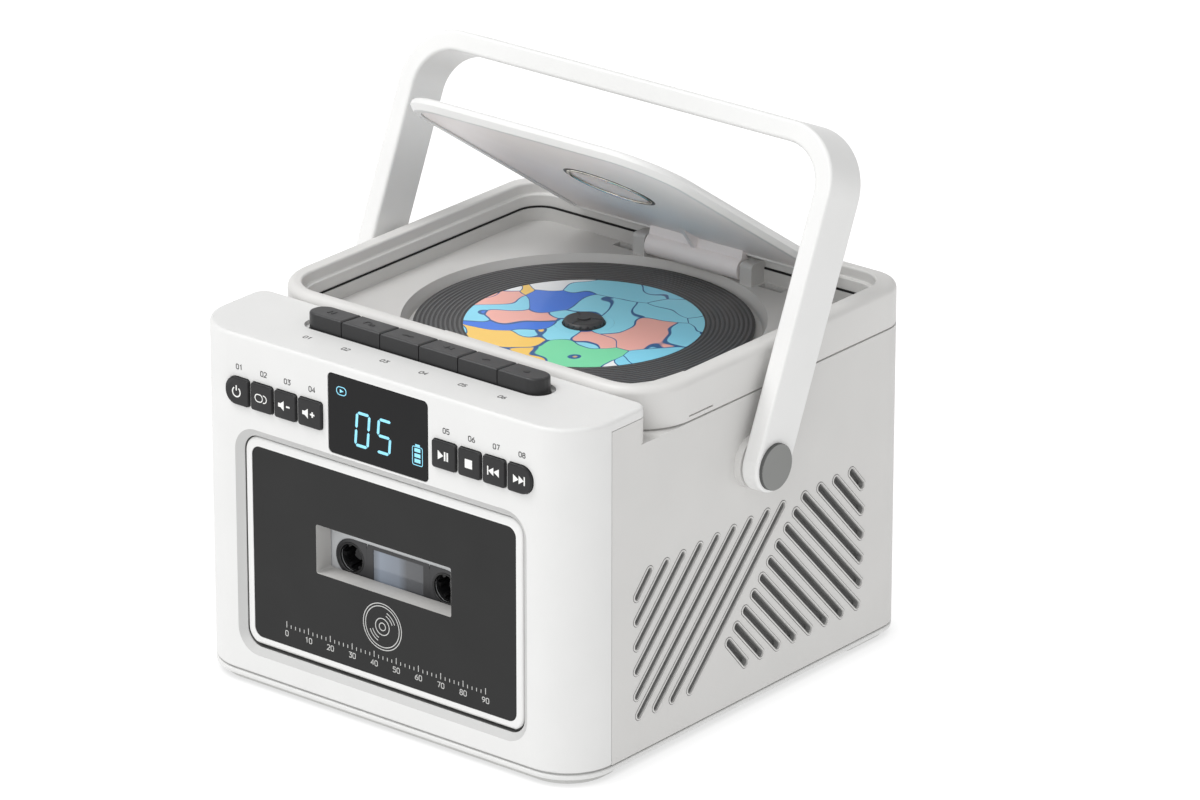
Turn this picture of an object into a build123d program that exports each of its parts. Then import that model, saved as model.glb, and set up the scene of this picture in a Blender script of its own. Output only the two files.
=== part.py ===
from build123d import *
import math
import os

# Portable disc player with a cassette deck: a squat upright box about 173 mm
# wide and 185 mm deep, a round-cornered deck with an open lid on top, a flat
# U-shaped handle leaning back, a ledge with six push keys, eight small front
# buttons round a display, and a cassette door.
#
# Lengths are in millimetres. While the pieces are drawn, Y counts from the
# front face backwards and Z from the floor upwards. Each piece is then moved by
# Y_SHIFT, so that the origin is under the middle of the object, on the floor.

# ---------------------------------------------------------------- dimensions
Y_SHIFT = -92.0

# outer casing
HW = 86.6            # half width of the casing
YB = 185.2           # rear face
FOOT_H = 2.6         # height of the feet
BASE_T = 2.6         # thickness of the bottom plate
Z0 = FOOT_H + BASE_T  # lower edge of the casing
ZL = 130.9           # top of the key ledge
CAP_Z = 127.2        # lower edge of the ledge's overhang at the sides
Y_SEAM = 19.1        # seam between front housing and cabinet
Y_LEDGE = 39.05      # rear edge of the ledge
RF = 18.9            # plan radius of the front corners
RL = 5.0             # plan radius of the ledge's rear corners
RB = 13.3            # plan radius of the rear corners
WALL = 2.6           # casing wall
GAP = 0.25           # seam gap
Z_SH = 117.6         # cabinet's shoulder, under the deck rim

# deck rim and disc tray
RIM_Y0 = 39.2
RIM_Z0 = 118.3
RIM_ZT = 133.3
RIM_RF = 21.0
RIM_IN = 80.0        # half width of the opening above the step
RIM_IN2 = 78.4       # below the step
STEP_Z = 129.2
RIM_INZ = 124.9      # lower edge of the rim's inner wall
TRAY_IN = 77.6
TRAY_Z = 119.5       # tray floor
TRAY_WALL_Z = 124.3
CDY = 110.2          # disc axis behind the front face
RECESS_R1, RECESS_R2 = 64.2, 62.4
RECESS_Z = 114.8

# disc and drive
DISC_R, DISC_HOLE, DISC_T = 60.0, 7.5, 1.2
DISC_Z = 116.4       # underside of the disc
HUB_R = 7.3

# lid
LID_Y, LID_Z = 173.8, 124.1   # hinge axis
LID_OPEN = 34.0               # opening angle, degrees
LID_HW = 60.3
LID_Y0, LID_Y1 = 49.9, 174.2  # front and rear edges when closed
LID_R = 24.0
LID_IN = 4.6                  # border of the lid's underside, round the liner
LID_BEV = 1.9                 # bevel of the lid's lower edge
LID_ZU, LID_ZT = 129.0, 133.3
BARREL_R, BARREL_HW = 4.2, 20.9
PIN_R = 1.5
PIN_HW = 25.4                 # half length of the hinge pin, blind in its posts
POST_X0, POST_X1 = 21.6, 26.9

# handle
HP_Y, HP_Z = 94.9, 93.3       # pivot
LEAN = 23.5                   # degrees back from upright
H_IN, H_OUT = 89.4, 96.5
H_LEN = 116.0
H_W = 19.0
H_T = 7.4
H_R = 22.0
CAP_R = 8.3
CAP_OUT = 1.4        # how far the caps stand proud of the arms

# display and buttons
DISP_HW, DISP_Z0, DISP_Z1 = 22.3, 98.2, 127.4
BTN_Z, BTN_H = 110.3, 10.0
BTN_X = [(24.8, 35.2), (36.4, 46.0), (47.2, 56.8), (58.0, 68.4)]
BTN_OUT = 1.2
BTN_TRAVEL = 0.8

# keys
KEY_X0, KEY_PITCH, KEY_N = -51.4, 17.4, 6
KEY_Y0, KEY_Y1 = 20.55, 31.3
KEY_ZF, KEY_ZB = 136.5, 135.7
KEY_TRAVEL = 4.0

# cassette door
DOOR_HW, DOOR_Z0, DOOR_Z1, DOOR_Y = 62.3, 16.0, 94.0, 1.8
DOOR_R = 6.0
PANEL_HW, PANEL_Z0, PANEL_Z1 = 59.2, 19.1, 90.6
WIN_HW, WIN_Z0, WIN_Z1 = 30.4, 50.2, 68.4
DISH_HW, DISH_Z0, DISH_Z1 = 65.4, 12.6, 97.4
DOOR_AX_Y, DOOR_AX_Z = 5.0, 19.2

# compact cassette, standard size
CAS_W, CAS_H, CAS_T, CAS_TT = 100.4, 63.8, 8.7, 12.0
REEL_X, REEL_Z = 21.25, 55.7
CAS_TOP = 90.2
CAS_Y = 10.05        # front face of the cassette's thin part

# tape drive
CAP_X, CAPST_Z, CAPST_R = 19.5, 82.2, 1.25
FLY_R, FLY_GROOVE = 20.0, 18.6
MOT_X, MOT_Z, PUL_GROOVE = -34.0, 64.0, 3.0
CH_Y = 24.0          # front of the tape chassis

# disc sled
SLED_TRAVEL = 33.0
G_MOD, G_TEETH = 0.8, 18
G_R = G_MOD * G_TEETH / 2

OUT = "parts"
os.makedirs(OUT, exist_ok=True)


# ------------------------------------------------------------------- helpers
def PF(y):
    """Plane facing the front, at depth y; sketch x is X and sketch y is Z."""
    return Plane(origin=(0, y, 0), x_dir=(1, 0, 0), z_dir=(0, -1, 0))


def PS(x):
    """Plane facing +X, at x; sketch x is Y and sketch y is Z."""
    return Plane(origin=(x, 0, 0), x_dir=(0, 1, 0), z_dir=(1, 0, 0))


def box(x0, x1, y0, y1, z0, z1):
    return Pos((x0 + x1) / 2, (y0 + y1) / 2, (z0 + z1) / 2) * Box(
        x1 - x0, y1 - y0, z1 - z0)


def plan_sketch(hw, y0, y1, rf, rb):
    s = Pos(0, (y0 + y1) / 2) * Rectangle(2 * hw, y1 - y0)
    if rf > 0:
        s = fillet(s.vertices().group_by(Axis.Y)[0], rf)
    if rb > 0:
        s = fillet(s.vertices().group_by(Axis.Y)[-1], rb)
    return s


def plan(hw, y0, y1, z0, z1, rf, rb):
    return extrude(Pos(0, 0, z0) * plan_sketch(hw, y0, y1, rf, rb), z1 - z0)


def rrect(x0, x1, z0, z1, r):
    return Pos((x0 + x1) / 2, (z0 + z1) / 2) * RectangleRounded(x1 - x0, z1 - z0, r)


def fprism(sk, y0, y1):
    """Sketch in X and Z, from depth y0 to y1."""
    return extrude(PF(y1) * sk, y1 - y0)


def sprism(sk, x0, x1):
    """Sketch in Y and Z, from x0 to x1."""
    return extrude(PS(x0) * sk, x1 - x0)


def cyl_z(r, x, y, z0, z1):
    return Pos(x, y, (z0 + z1) / 2) * Cylinder(r, z1 - z0)


def cyl_y(r, x, y0, y1, z):
    return Pos(x, (y0 + y1) / 2, z) * Rot(90, 0, 0) * Cylinder(r, y1 - y0)


def cyl_x(r, x0, x1, y, z):
    return Pos((x0 + x1) / 2, y, z) * Rot(0, 90, 0) * Cylinder(r, x1 - x0)


def soften(solid, edges, radii):
    """Round the edges with the first radius that the shape takes."""
    for r in radii:
        try:
            out = fillet(edges, r)
            if out.is_valid and out.volume > 0:
                return out
        except Exception:
            continue
    print("edge left sharp")
    return solid


parts = {}


def keep(name, shape):
    parts[name] = shape


# ------------------------------------------------------------- front housing
front = plan(HW, 0, Y_SEAM, Z0, CAP_Z + 0.5, RF, 0)
front += plan(HW, 0, Y_LEDGE, CAP_Z, ZL, RF, RL)
top_edges = front.edges().filter_by_position(Axis.Z, ZL - 0.01, ZL + 0.01)
front = soften(front, top_edges, (1.3, 1.0, 0.7))
bot_edges = [e for e in front.edges().filter_by_position(Axis.Z, Z0 - 0.01, Z0 + 0.01)
             if e.center().Y < Y_SEAM - 0.1]
front = soften(front, bot_edges, (0.7, 0.4))
front -= plan(HW - WALL, WALL, Y_LEDGE - WALL, Z0 - 1, ZL - WALL, RF - WALL, RL - WALL)
front -= box(-HW + WALL, HW - WALL, 10, Y_SEAM + 5, Z0 - 1, CAP_Z - 0.01)
# thick collar round the cassette door, its opening and its bevelled dish
front += fprism(rrect(-67.5, 67.5, 9.6, 99.4 - 2.4, 8), WALL - 0.2, 7.0)
front -= fprism(rrect(-DOOR_HW - 0.5, DOOR_HW + 0.5, DOOR_Z0 - 1.0, DOOR_Z1 + 0.45, DOOR_R + 0.5), -1, 9)
lower = PF(2.0) * rrect(-DOOR_HW - 0.55, DOOR_HW + 0.55, DOOR_Z0 - 1.05, DOOR_Z1 + 0.5, DOOR_R + 0.6)
upper = PF(-0.001) * rrect(-DISH_HW, DISH_HW, DISH_Z0, DISH_Z1, 9.2)
front -= loft([lower, upper])
for s in (-1, 1):
    # stub on which the cassette door turns
    x0, x1 = sorted((s * 57.6, s * 64.0))
    front += cyl_x(1.0, x0, x1, DOOR_AX_Y, DOOR_AX_Z)
# display opening
front -= fprism(rrect(-DISP_HW - 0.15, DISP_HW + 0.15, DISP_Z0 - 0.15, DISP_Z1 + 0.15, 1.9), -1, 6)
# button openings


def button_outline(x0, x1, grow, end):
    """end is -1 or +1 for the rounded outer end of a row, 0 for none."""
    z0, z1 = BTN_Z - BTN_H / 2 - grow, BTN_Z + BTN_H / 2 + grow
    a, b = x0 - grow, x1 + grow
    s = Pos((a + b) / 2, (z0 + z1) / 2) * Rectangle(b - a, z1 - z0)
    big, small = 4.6 + grow, 1.0 + grow
    lo = s.vertices().group_by(Axis.X)[0]
    s = fillet(lo, big if end < 0 else small)
    hi = s.vertices().group_by(Axis.X)[-1]
    s = fillet(hi, big if end > 0 else small)
    return s


BUTTONS = []
names_l = ["button_volume_up", "button_volume_down", "button_repeat", "button_power"]
names_r = ["button_play_pause", "button_stop", "button_previous", "button_next"]
for i, (a, b) in enumerate(BTN_X):
    BUTTONS.append((names_l[i], -b, -a, -1 if i == 3 else 0))
    BUTTONS.append((names_r[i], a, b, 1 if i == 3 else 0))
for nm, a, b, end in BUTTONS:
    front -= fprism(button_outline(a, b, 0.22, end), -1, 6)
# key pocket in the ledge: a shallow round-ended trough, then the through hole
KX0, KX1 = KEY_X0, KEY_X0 + KEY_PITCH * KEY_N
trough = Pos((KX0 + KX1) / 2, (KEY_Y0 + KEY_Y1) / 2) * RectangleRounded(
    KX1 - KX0 + 4.2, KEY_Y1 - KEY_Y0 + 1.6, 6.1)
front -= extrude(Pos(0, 0, ZL - 1.5) * trough, 3)
hole = Pos((KX0 + KX1) / 2, (KEY_Y0 + KEY_Y1) / 2) * RectangleRounded(
    KX1 - KX0 + 0.6, KEY_Y1 - KEY_Y0 + 0.7, 5.4)
front -= extrude(Pos(0, 0, ZL - 6) * hole, 8)
keep("front_housing", front)

# -------------------------------------------------------------- cabinet shell
YS = Y_SEAM + GAP
cab = plan(HW, YS, YB, Z0, Z_SH, 0, RB)
cab += plan(HW, YS, Y_LEDGE, Z_SH - 1, CAP_Z - GAP, 0, RL)
cab -= plan(HW - WALL, YS - 1, YB - WALL, Z0 - 1, Z_SH - 2.2, 0, RB - WALL)
cab -= plan(HW - WALL, YS - 1, Y_LEDGE - WALL, Z_SH - 5, CAP_Z + 1, 0, RL - WALL)
cab -= plan(74.0, 42.5, 178.0, Z_SH - 4, Z_SH + 1, 8.0, 8.0)
# grille slots on both sides
G_UP = [((32.2, 62.2), (40.0, 70.7)), ((32.2, 53.2), (49.0, 70.7)), ((32.2, 44.0), (57.9, 70.7)),
        ((32.2, 34.9), (67.2, 70.8)), ((32.3, 25.6), (76.5, 70.9)), ((33.4, 18.2), (85.7, 71.0)),
        ((42.5, 17.9), (95.0, 71.0)), ((51.6, 17.9), (104.4, 71.0)), ((61.2, 17.9), (113.2, 71.0))]
G_DN = [((151.2, 71.2), (158.4, 63.0)), ((142.2, 71.1), (158.4, 53.6)), ((133.2, 71.1), (158.4, 44.2)),
        ((124.3, 70.7), (158.1, 35.3)), ((119.4, 66.3), (157.9, 26.1)), ((114.6, 62.0), (156.6, 18.0)),
        ((109.7, 57.4), (147.4, 17.8)), ((105.2, 52.6), (138.3, 18.0)), ((100.7, 47.9), (129.2, 17.8)),
        ((96.2, 43.2), (120.2, 17.9)), ((91.4, 38.7), (111.0, 17.9)), ((86.7, 34.2), (101.7, 18.0)),
        ((82.4, 29.6), (92.9, 17.6))]
SLOT_W = 2.7


def slot_sketch(width):
    out = None
    for (ya, za), (yb, zb) in G_UP + G_DN:
        L = math.hypot(yb - ya, zb - za)
        ang = math.degrees(math.atan2(zb - za, yb - ya))
        # the slot's tips stand half a millimetre beyond the ends given
        s = Pos((ya + yb) / 2, (za + zb) / 2) * Rot(0, 0, ang) * SlotOverall(L + 1.0 + width - SLOT_W, width)
        out = s if out is None else out + s
    return out


slots = slot_sketch(SLOT_W)
cab -= sprism(slots, HW - WALL - 1, HW + 1)
cab -= sprism(slots, -HW - 1, -HW + WALL + 1)
# screw bosses in the corners and bosses for the handle pins
SCREWS = [(-78.4, 42.0), (78.4, 42.0), (-78.4, 163.0), (78.4, 163.0)]
for x, y in SCREWS:
    cab += cyl_z(5.8, x, y, Z0, Z0 + 10.0)
    cab -= cyl_z(1.45, x, y, Z0 - 1, Z0 + 9.0)
for s in (-1, 1):
    x0, x1 = sorted((s * (HW - 0.5), s * (HW - 11.0)))
    cab += cyl_x(7.0, x0, x1, HP_Y, HP_Z)
    x0, x1 = sorted((s * (HW - 9.0), s * (HW + 1.0)))
    cab -= cyl_x(2.52, x0, x1, HP_Y, HP_Z)
# opening for the power socket in the rear wall
SOCK_X, SOCK_Z = 46.0, 24.0
cab -= fprism(rrect(SOCK_X - 5.6, SOCK_X + 5.6, SOCK_Z - 2.8, SOCK_Z + 2.8, 2.0), YB - 5, YB + 1)
keep("cabinet_shell", cab)

# ----------------------------------------------------- bottom plate and feet
base = plan(HW - 1.2, 1.2, YB - 1.2, FOOT_H, Z0, RF - 1.2, RB - 1.2)
base = soften(base, base.edges().filter_by_position(Axis.Z, FOOT_H - 0.01, FOOT_H + 0.01), (0.8, 0.5))
base += plan(HW - WALL - 0.4, 12.0, YB - WALL - 0.4, Z0 - 0.5, Z0 + 1.6, 2.0, RB - WALL - 0.4) \
    - plan(HW - WALL - 2.2, 9.0, YB - WALL - 2.2, Z0 - 1.5, Z0 + 3, 2.0, RB - WALL - 2.2)
for x, y in SCREWS:
    base -= cyl_z(6.1, x, y, Z0, Z0 + 3)
    base -= cyl_z(1.6, x, y, FOOT_H - 1, Z0 + 3)
    base -= cyl_z(3.0, x, y, FOOT_H - 1, FOOT_H + 1.4)
for x, y in ((-48, 72), (48, 72), (-48, 160), (48, 160)):
    base += cyl_z(3.0, x, y, Z0 - 0.5, 34.0)
keep("base_plate", base)

foot_f = plan(HW - 3.2, 3.2, 27.0, 0, FOOT_H, RF - 3.2, 4.0)
foot_r = plan(HW - 3.2, 153.0, YB - 3.2, 0, FOOT_H, 4.0, RB - 3.2)
foot_f = soften(foot_f, foot_f.edges().filter_by_position(Axis.Z, -0.01, 0.01), (0.6, 0.4))
foot_r = soften(foot_r, foot_r.edges().filter_by_position(Axis.Z, -0.01, 0.01), (0.6, 0.4))
foot_r -= cyl_z(3.4, -78.4, 163.0, -1, FOOT_H + 1)
foot_r -= cyl_z(3.4, 78.4, 163.0, -1, FOOT_H + 1)
keep("rubber_feet", Compound(children=[foot_f, foot_r]))

screws = []
for x, y in SCREWS:
    sc = cyl_z(2.8, x, y, FOOT_H + 0.1, FOOT_H + 1.4)
    sc += cyl_z(1.4, x, y, FOOT_H + 1.3, Z0 + 8.0)
    sc -= box(x - 1.9, x + 1.9, y - 0.35, y + 0.35, FOOT_H - 1, FOOT_H + 0.8)
    sc -= box(x - 0.35, x + 0.35, y - 1.9, y + 1.9, FOOT_H - 1, FOOT_H + 0.8)
    screws.append(sc)
keep("case_screws", Compound(children=screws))

# ------------------------------------------------------------------ deck rim
rim = plan(HW, RIM_Y0, YB, RIM_Z0, RIM_ZT, RIM_RF, RB)
rim = soften(rim, rim.edges().filter_by_position(Axis.Z, RIM_ZT - 0.01, RIM_ZT + 0.01), (2.8, 2.2))
YI0, YI1 = 43.8, 180.0
upper_cut = plan(RIM_IN, YI0, YI1, STEP_Z, RIM_ZT + 2, 14.0, 11.0)
rim -= upper_cut
lower_cut = plan(RIM_IN2, YI0 + 1.6, YI1 - 1.4, RIM_Z0 - 1, STEP_Z + 0.5, 12.4, 9.6)
rim -= lower_cut
inner_top = [e for e in rim.edges().filter_by_position(Axis.Z, RIM_ZT - 0.01, RIM_ZT + 0.01)]
rim = soften(rim, inner_top, (0.9, 0.6, 0.4))
step_edges = [e for e in rim.edges().filter_by_position(Axis.Z, STEP_Z - 0.01, STEP_Z + 0.01)
              if abs(e.center().X) < 79.2 and YI0 + 1.0 < e.center().Y < YI1 - 0.7]
rim = soften(rim, step_edges, (1.2, 0.8, 0.5))
rim -= plan(HW - 2.4, RIM_Y0 + 2.4, YB - 2.4, RIM_Z0 - 1, RIM_INZ, RIM_RF - 2.4, RB - 2.4)
rim -= (plan(HW - 2.4, RIM_Y0 + 2.4, YB - 2.4, RIM_INZ - 1, 127.2, RIM_RF - 2.4, RB - 2.4)
        - plan(RIM_IN2 + 1.9, YI0 - 0.3, YI1 + 0.5, RIM_INZ - 2, 128, 14.0, 11.4))
# inset lip on which the rim stands, leaving a fine shadow gap outside it
rim += (plan(HW - 1.1, RIM_Y0 + 1.1, YB - 1.1, Z_SH, RIM_Z0 + 0.4, RIM_RF - 1.1, RB - 1.1)
        - plan(HW - 2.4, RIM_Y0 + 2.4, YB - 2.4, Z_SH - 1, RIM_Z0 + 1, RIM_RF - 2.4, RB - 2.4))
# rest for the closed lid's front edge
rim += box(-12, 12, YI0 + 0.5, 49.9, 125.8, 130.1)
# narrow side slits
for s in (-1, 1):
    x0, x1 = sorted((s * (HW - 0.8), s * (HW + 1)))
    rim -= box(x0, x1, 60.5, 73.6, 119.6, 120.2)
keep("deck_rim", rim)

# ------------------------------------------------------------------ disc tray
tray = plan(82.0, 42.4, 181.4, Z_SH, TRAY_Z, 13.0, 9.0)
tray += (plan(TRAY_IN + 1.7, YI0 + 0.7, YI1 - 0.5, TRAY_Z - 0.5, TRAY_WALL_Z, 13.3, 10.3)
         - plan(TRAY_IN, YI0 + 2.4, YI1 - 2.2, TRAY_Z - 1, TRAY_WALL_Z + 1, 11.6, 8.8))
tray += cyl_z(66.0, 0, CDY, RECESS_Z - 2.0, TRAY_Z - 0.5)
recess = Pos(0, CDY, 0) * loft([Pos(0, 0, RECESS_Z) * Circle(RECESS_R2),
                               Pos(0, 0, TRAY_Z + 0.001) * Circle(RECESS_R1)])
tray -= recess
tray -= cyl_z(16.0, 0, CDY, RECESS_Z - 4, RECESS_Z + 1)
tray -= box(-8.5, 8.5, 48.0, 97.0, RECESS_Z - 4, RECESS_Z + 1)
tray -= cyl_x(BARREL_R + 0.35, -BARREL_HW - 0.5, BARREL_HW + 0.5, LID_Y, LID_Z)
for s in (-1, 1):
    x0, x1 = sorted((s * POST_X0, s * POST_X1))
    post = box(x0, x1, 170.6, YI1 - 1.6, TRAY_Z - 0.3, 127.6)
    post = soften(post, post.edges().filter_by(Axis.X).group_by(Axis.Z)[-1], (1.6, 1.0))
    tray += post
    x0, x1 = sorted((s * (POST_X0 - 0.5), s * (PIN_HW + 0.2)))
    tray -= cyl_x(PIN_R + 0.02, x0, x1, LID_Y, LID_Z)
    x0, x1 = sorted((s * 27.8, s * 38.2))
    tray -= box(x0, x1, 173.0, 177.2, Z_SH - 1, TRAY_Z + 1)
keep("disc_tray", tray)
keep("lid_hinge_pin", cyl_x(PIN_R, -PIN_HW, PIN_HW, LID_Y, LID_Z))

# ------------------------------------------------------------------------ lid
OPEN = Pos(0, LID_Y, LID_Z) * Rot(-LID_OPEN, 0, 0) * Pos(0, -LID_Y, -LID_Z)
cover = plan(LID_HW, LID_Y0, LID_Y1, LID_ZU, LID_ZT, LID_R, 5.0)
cover = soften(cover, cover.edges().filter_by_position(Axis.Z, LID_ZT - 0.01, LID_ZT + 0.01), (1.6, 1.2, 0.8))
cover = chamfer(cover.edges().filter_by_position(Axis.Z, LID_ZU - 0.01, LID_ZU + 0.01), LID_BEV)
cover -= plan(LID_HW - LID_IN, LID_Y0 + LID_IN, LID_Y1 - 1.9, LID_ZU - 1, 131.5, LID_R - LID_IN, 3.1)
# the rear edge is square below, where the hinge's neck joins
cover += plan(LID_HW - 8.0, LID_Y1 - 1.9, LID_Y1 - 0.3, LID_ZU + 0.3, LID_ZU + 3.0, 0, 0)
keep("lid_cover", OPEN * cover)

CL_Y = CDY
liner = plan(LID_HW - LID_IN - 0.12, LID_Y0 + LID_IN + 0.12, LID_Y1 - 2.02, 129.6, 131.45,
             LID_R - LID_IN - 0.12, 2.95)
liner += cyl_x(BARREL_R, -BARREL_HW, BARREL_HW, LID_Y, LID_Z)
neck_sk = Polyline((LID_Y - 3.4, LID_Z + 2.4), (LID_Y - 4.6, 130.4), (LID_Y - 1.7, 130.4),
                   (LID_Y - 1.7, 128.9), (LID_Y + 0.4, LID_Z + 4.1), (LID_Y, LID_Z), close=True)
liner += sprism(make_face(neck_sk), -BARREL_HW, BARREL_HW)
rib = Polyline((LID_Y - 3.9, LID_Z + 1.6), (LID_Y - 17.0, 130.2), (LID_Y - 3.0, 130.2), close=True)
liner += sprism(make_face(rib), -0.9, 0.9)
liner -= cyl_x(PIN_R + 0.06, -BARREL_HW - 1, BARREL_HW + 1, LID_Y, LID_Z)
# seat for the hub ring
liner -= cyl_z(17.2, 0, CL_Y, 129, 132)
keep("lid_liner", OPEN * liner)
ring = cyl_z(17.0, 0, CL_Y, 129.7, 131.45) - cyl_z(14.6, 0, CL_Y, 129, 130.7)
ring = soften(ring, ring.edges().filter_by_position(Axis.Z, 129.69, 129.71), (0.5, 0.3))
keep("hub_ring", OPEN * ring)

# --------------------------------------------------------------------- handle
LEANED = Pos(0, HP_Y, HP_Z) * Rot(-LEAN, 0, 0)
u_out = Pos(0, (H_LEN - 30) / 2) * Rectangle(2 * H_OUT, H_LEN + 30)
u_out = fillet(u_out.vertices().group_by(Axis.Y)[-1], H_R)
u_in = Pos(0, (H_LEN - H_T - 40) / 2) * Rectangle(2 * H_IN, H_LEN - H_T + 40)
u_in = fillet(u_in.vertices().group_by(Axis.Y)[-1], H_R - H_T + 0.6)
bow = fprism(u_out - u_in, -H_W / 2, H_W / 2)
foot_sk = Pos(0, (H_LEN + 20) / 2) * Rectangle(H_W, H_LEN + 20) + Circle(H_W / 2)
bow = bow & sprism(foot_sk, -H_OUT - 1, H_OUT + 1)
long_edges = [e for e in bow.edges() if abs(abs(e.center().Y) - H_W / 2) < 0.01]
bow = soften(bow, long_edges, (1.3, 1.0, 0.7))
for s in (-1, 1):
    x0, x1 = sorted((s * (H_IN - 1), s * (H_OUT + 1)))
    bow -= cyl_x(3.06, x0, x1, 0, 0)
    x0, x1 = sorted((s * (H_OUT - 3.2), s * (H_OUT + 1)))
    bow -= cyl_x(CAP_R + 0.05, x0, x1, 0, 0)
keep("handle_bow", LEANED * bow)
caps = []
for s in (-1, 1):
    x0, x1 = sorted((s * (H_OUT - 1.0), s * (H_OUT + CAP_OUT)))
    c = cyl_x(CAP_R, x0, x1, 0, 0)
    face = c.faces().sort_by(Axis.X)[-1 if s > 0 else 0]
    c = soften(c, face.edges(), (0.3, 0.2))
    caps.append(LEANED * c)
keep("handle_caps", Compound(children=caps))
pins, washers = [], []
for s in (-1, 1):
    a, b = sorted((s * (HW - 8.5), s * (H_OUT - 3.0)))
    p = cyl_x(2.5, a, b, HP_Y, HP_Z)
    a, b = sorted((s * (H_IN - 0.1), s * (H_OUT - 3.0)))
    p += cyl_x(3.0, a, b, HP_Y, HP_Z)
    a, b = sorted((s * (H_OUT - 3.1), s * (H_OUT - 1.3)))
    p += cyl_x(6.5, a, b, HP_Y, HP_Z)
    pins.append(p)
    a, b = sorted((s * HW, s * (H_IN - 0.2)))
    w = cyl_x(9.6, a, b, HP_Y, HP_Z)
    a, b = sorted((s * (HW - 1), s * (H_IN + 1)))
    w -= cyl_x(3.1, a, b, HP_Y, HP_Z)
    washers.append(w)
keep("handle_pins", Compound(children=pins))
keep("handle_washers", Compound(children=washers))

# ------------------------------------------------------ display and its board
lens = fprism(rrect(-DISP_HW, DISP_HW, DISP_Z0, DISP_Z1, 1.75), 0.05, WALL)
lens = soften(lens, lens.faces().sort_by(Axis.Y)[0].edges(), (0.25,))
keep("display_window", lens)
board = box(-71.5, 71.5, 10.0, 11.6, 97.4, 127.9)
board += fprism(rrect(-23.6, 23.6, 97.6, 127.9, 1.0), WALL, 10.2)
for nm, a, b, end in BUTTONS:
    xc = (a + b) / 2
    board += box(xc - 3, xc + 3, 6.3, 10.2, BTN_Z - 3, BTN_Z + 3)
keep("front_board", board)

# ------------------------------------------------------------------- buttons
for nm, a, b, end in BUTTONS:
    xc = (a + b) / 2
    cap = fprism(button_outline(a, b, 0.0, end), -BTN_OUT, 3.0)
    cap = soften(cap, cap.faces().sort_by(Axis.Y)[0].edges(), (0.4, 0.3))
    cap += box(a + 0.9, b - 0.9, 2.9, 3.9, BTN_Z - 6.3, BTN_Z + 6.3)
    cap += box(xc - 1.6, xc + 1.6, 3.8, 5.4, BTN_Z - 1.6, BTN_Z + 1.6)
    keep(nm, cap)

# ----------------------------------------------------------------------- keys
KEYS = ["key_pause", "key_stop_eject", "key_fast_forward", "key_rewind", "key_play", "key_record"]
key_prof = make_face(Polyline((KEY_Y0, 122.0), (KEY_Y0, KEY_ZF), (KEY_Y1, KEY_ZB), (KEY_Y1, 122.0), close=True))
row = sprism(key_prof, KX0 + 0.15, KX1 - 0.15)
row = row & extrude(Pos((KX0 + KX1) / 2, (KEY_Y0 + KEY_Y1) / 2, 100) * RectangleRounded(
    KX1 - KX0 - 0.3, KEY_Y1 - KEY_Y0, 5.1), 60)
for i, nm in enumerate(KEYS):
    a, b = KX0 + KEY_PITCH * i + 0.2, KX0 + KEY_PITCH * (i + 1) - 0.2
    k = row & box(a, b, 0, 60, 100, 160)
    tops = [e for e in k.edges() if e.center().Z > KEY_ZB - 0.5]
    k = soften(k, tops, (0.9, 0.7, 0.45))
    xc = KX0 + KEY_PITCH * (i + 0.5)
    k += box(xc - 7.6, xc + 7.6, KEY_Y0 - 1.2, KEY_Y1 + 1.4, 122.2, 123.8)
    k += box(xc - 3.0, xc + 3.0, 23.0, 29.0, 108.0, 123.0)
    keep(nm, k)
guide = box(-58, 58, 16.0, Y_LEDGE - WALL, 112.0, 114.0)
for i in range(KEY_N):
    xc = KX0 + KEY_PITCH * (i + 0.5)
    guide -= box(xc - 3.3, xc + 3.3, 22.7, 29.3, 111, 115)
keep("key_guide", guide)

# -------------------------------------------------------------- cassette door
frame = fprism(rrect(-DOOR_HW, DOOR_HW, DOOR_Z0, DOOR_Z1, DOOR_R), DOOR_Y, 5.6)
frame = soften(frame, frame.faces().sort_by(Axis.Y)[0].edges(), (1.0, 0.7))
# the rear of the bottom edge is rounded so that it turns within its opening
frame -= (box(-80, 80, -2, DOOR_AX_Y, DOOR_Z0 - 3, DOOR_AX_Z - 0.8)
          - cyl_x(3.75, -81, 81, DOOR_AX_Y, DOOR_AX_Z))
frame -= fprism(rrect(-PANEL_HW - 0.1, PANEL_HW + 0.1, PANEL_Z0 - 0.1, PANEL_Z1 + 0.1, 3.6), 0, DOOR_Y + 1.3)
frame += fprism(rrect(-WIN_HW - 1.8, WIN_HW + 1.8, WIN_Z0 - 1.8, WIN_Z1 + 1.8, 1.6), 3.2, 9.5)
frame -= fprism(rrect(-WIN_HW, WIN_HW, WIN_Z0, WIN_Z1, 0.8), 0, 12)
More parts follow.
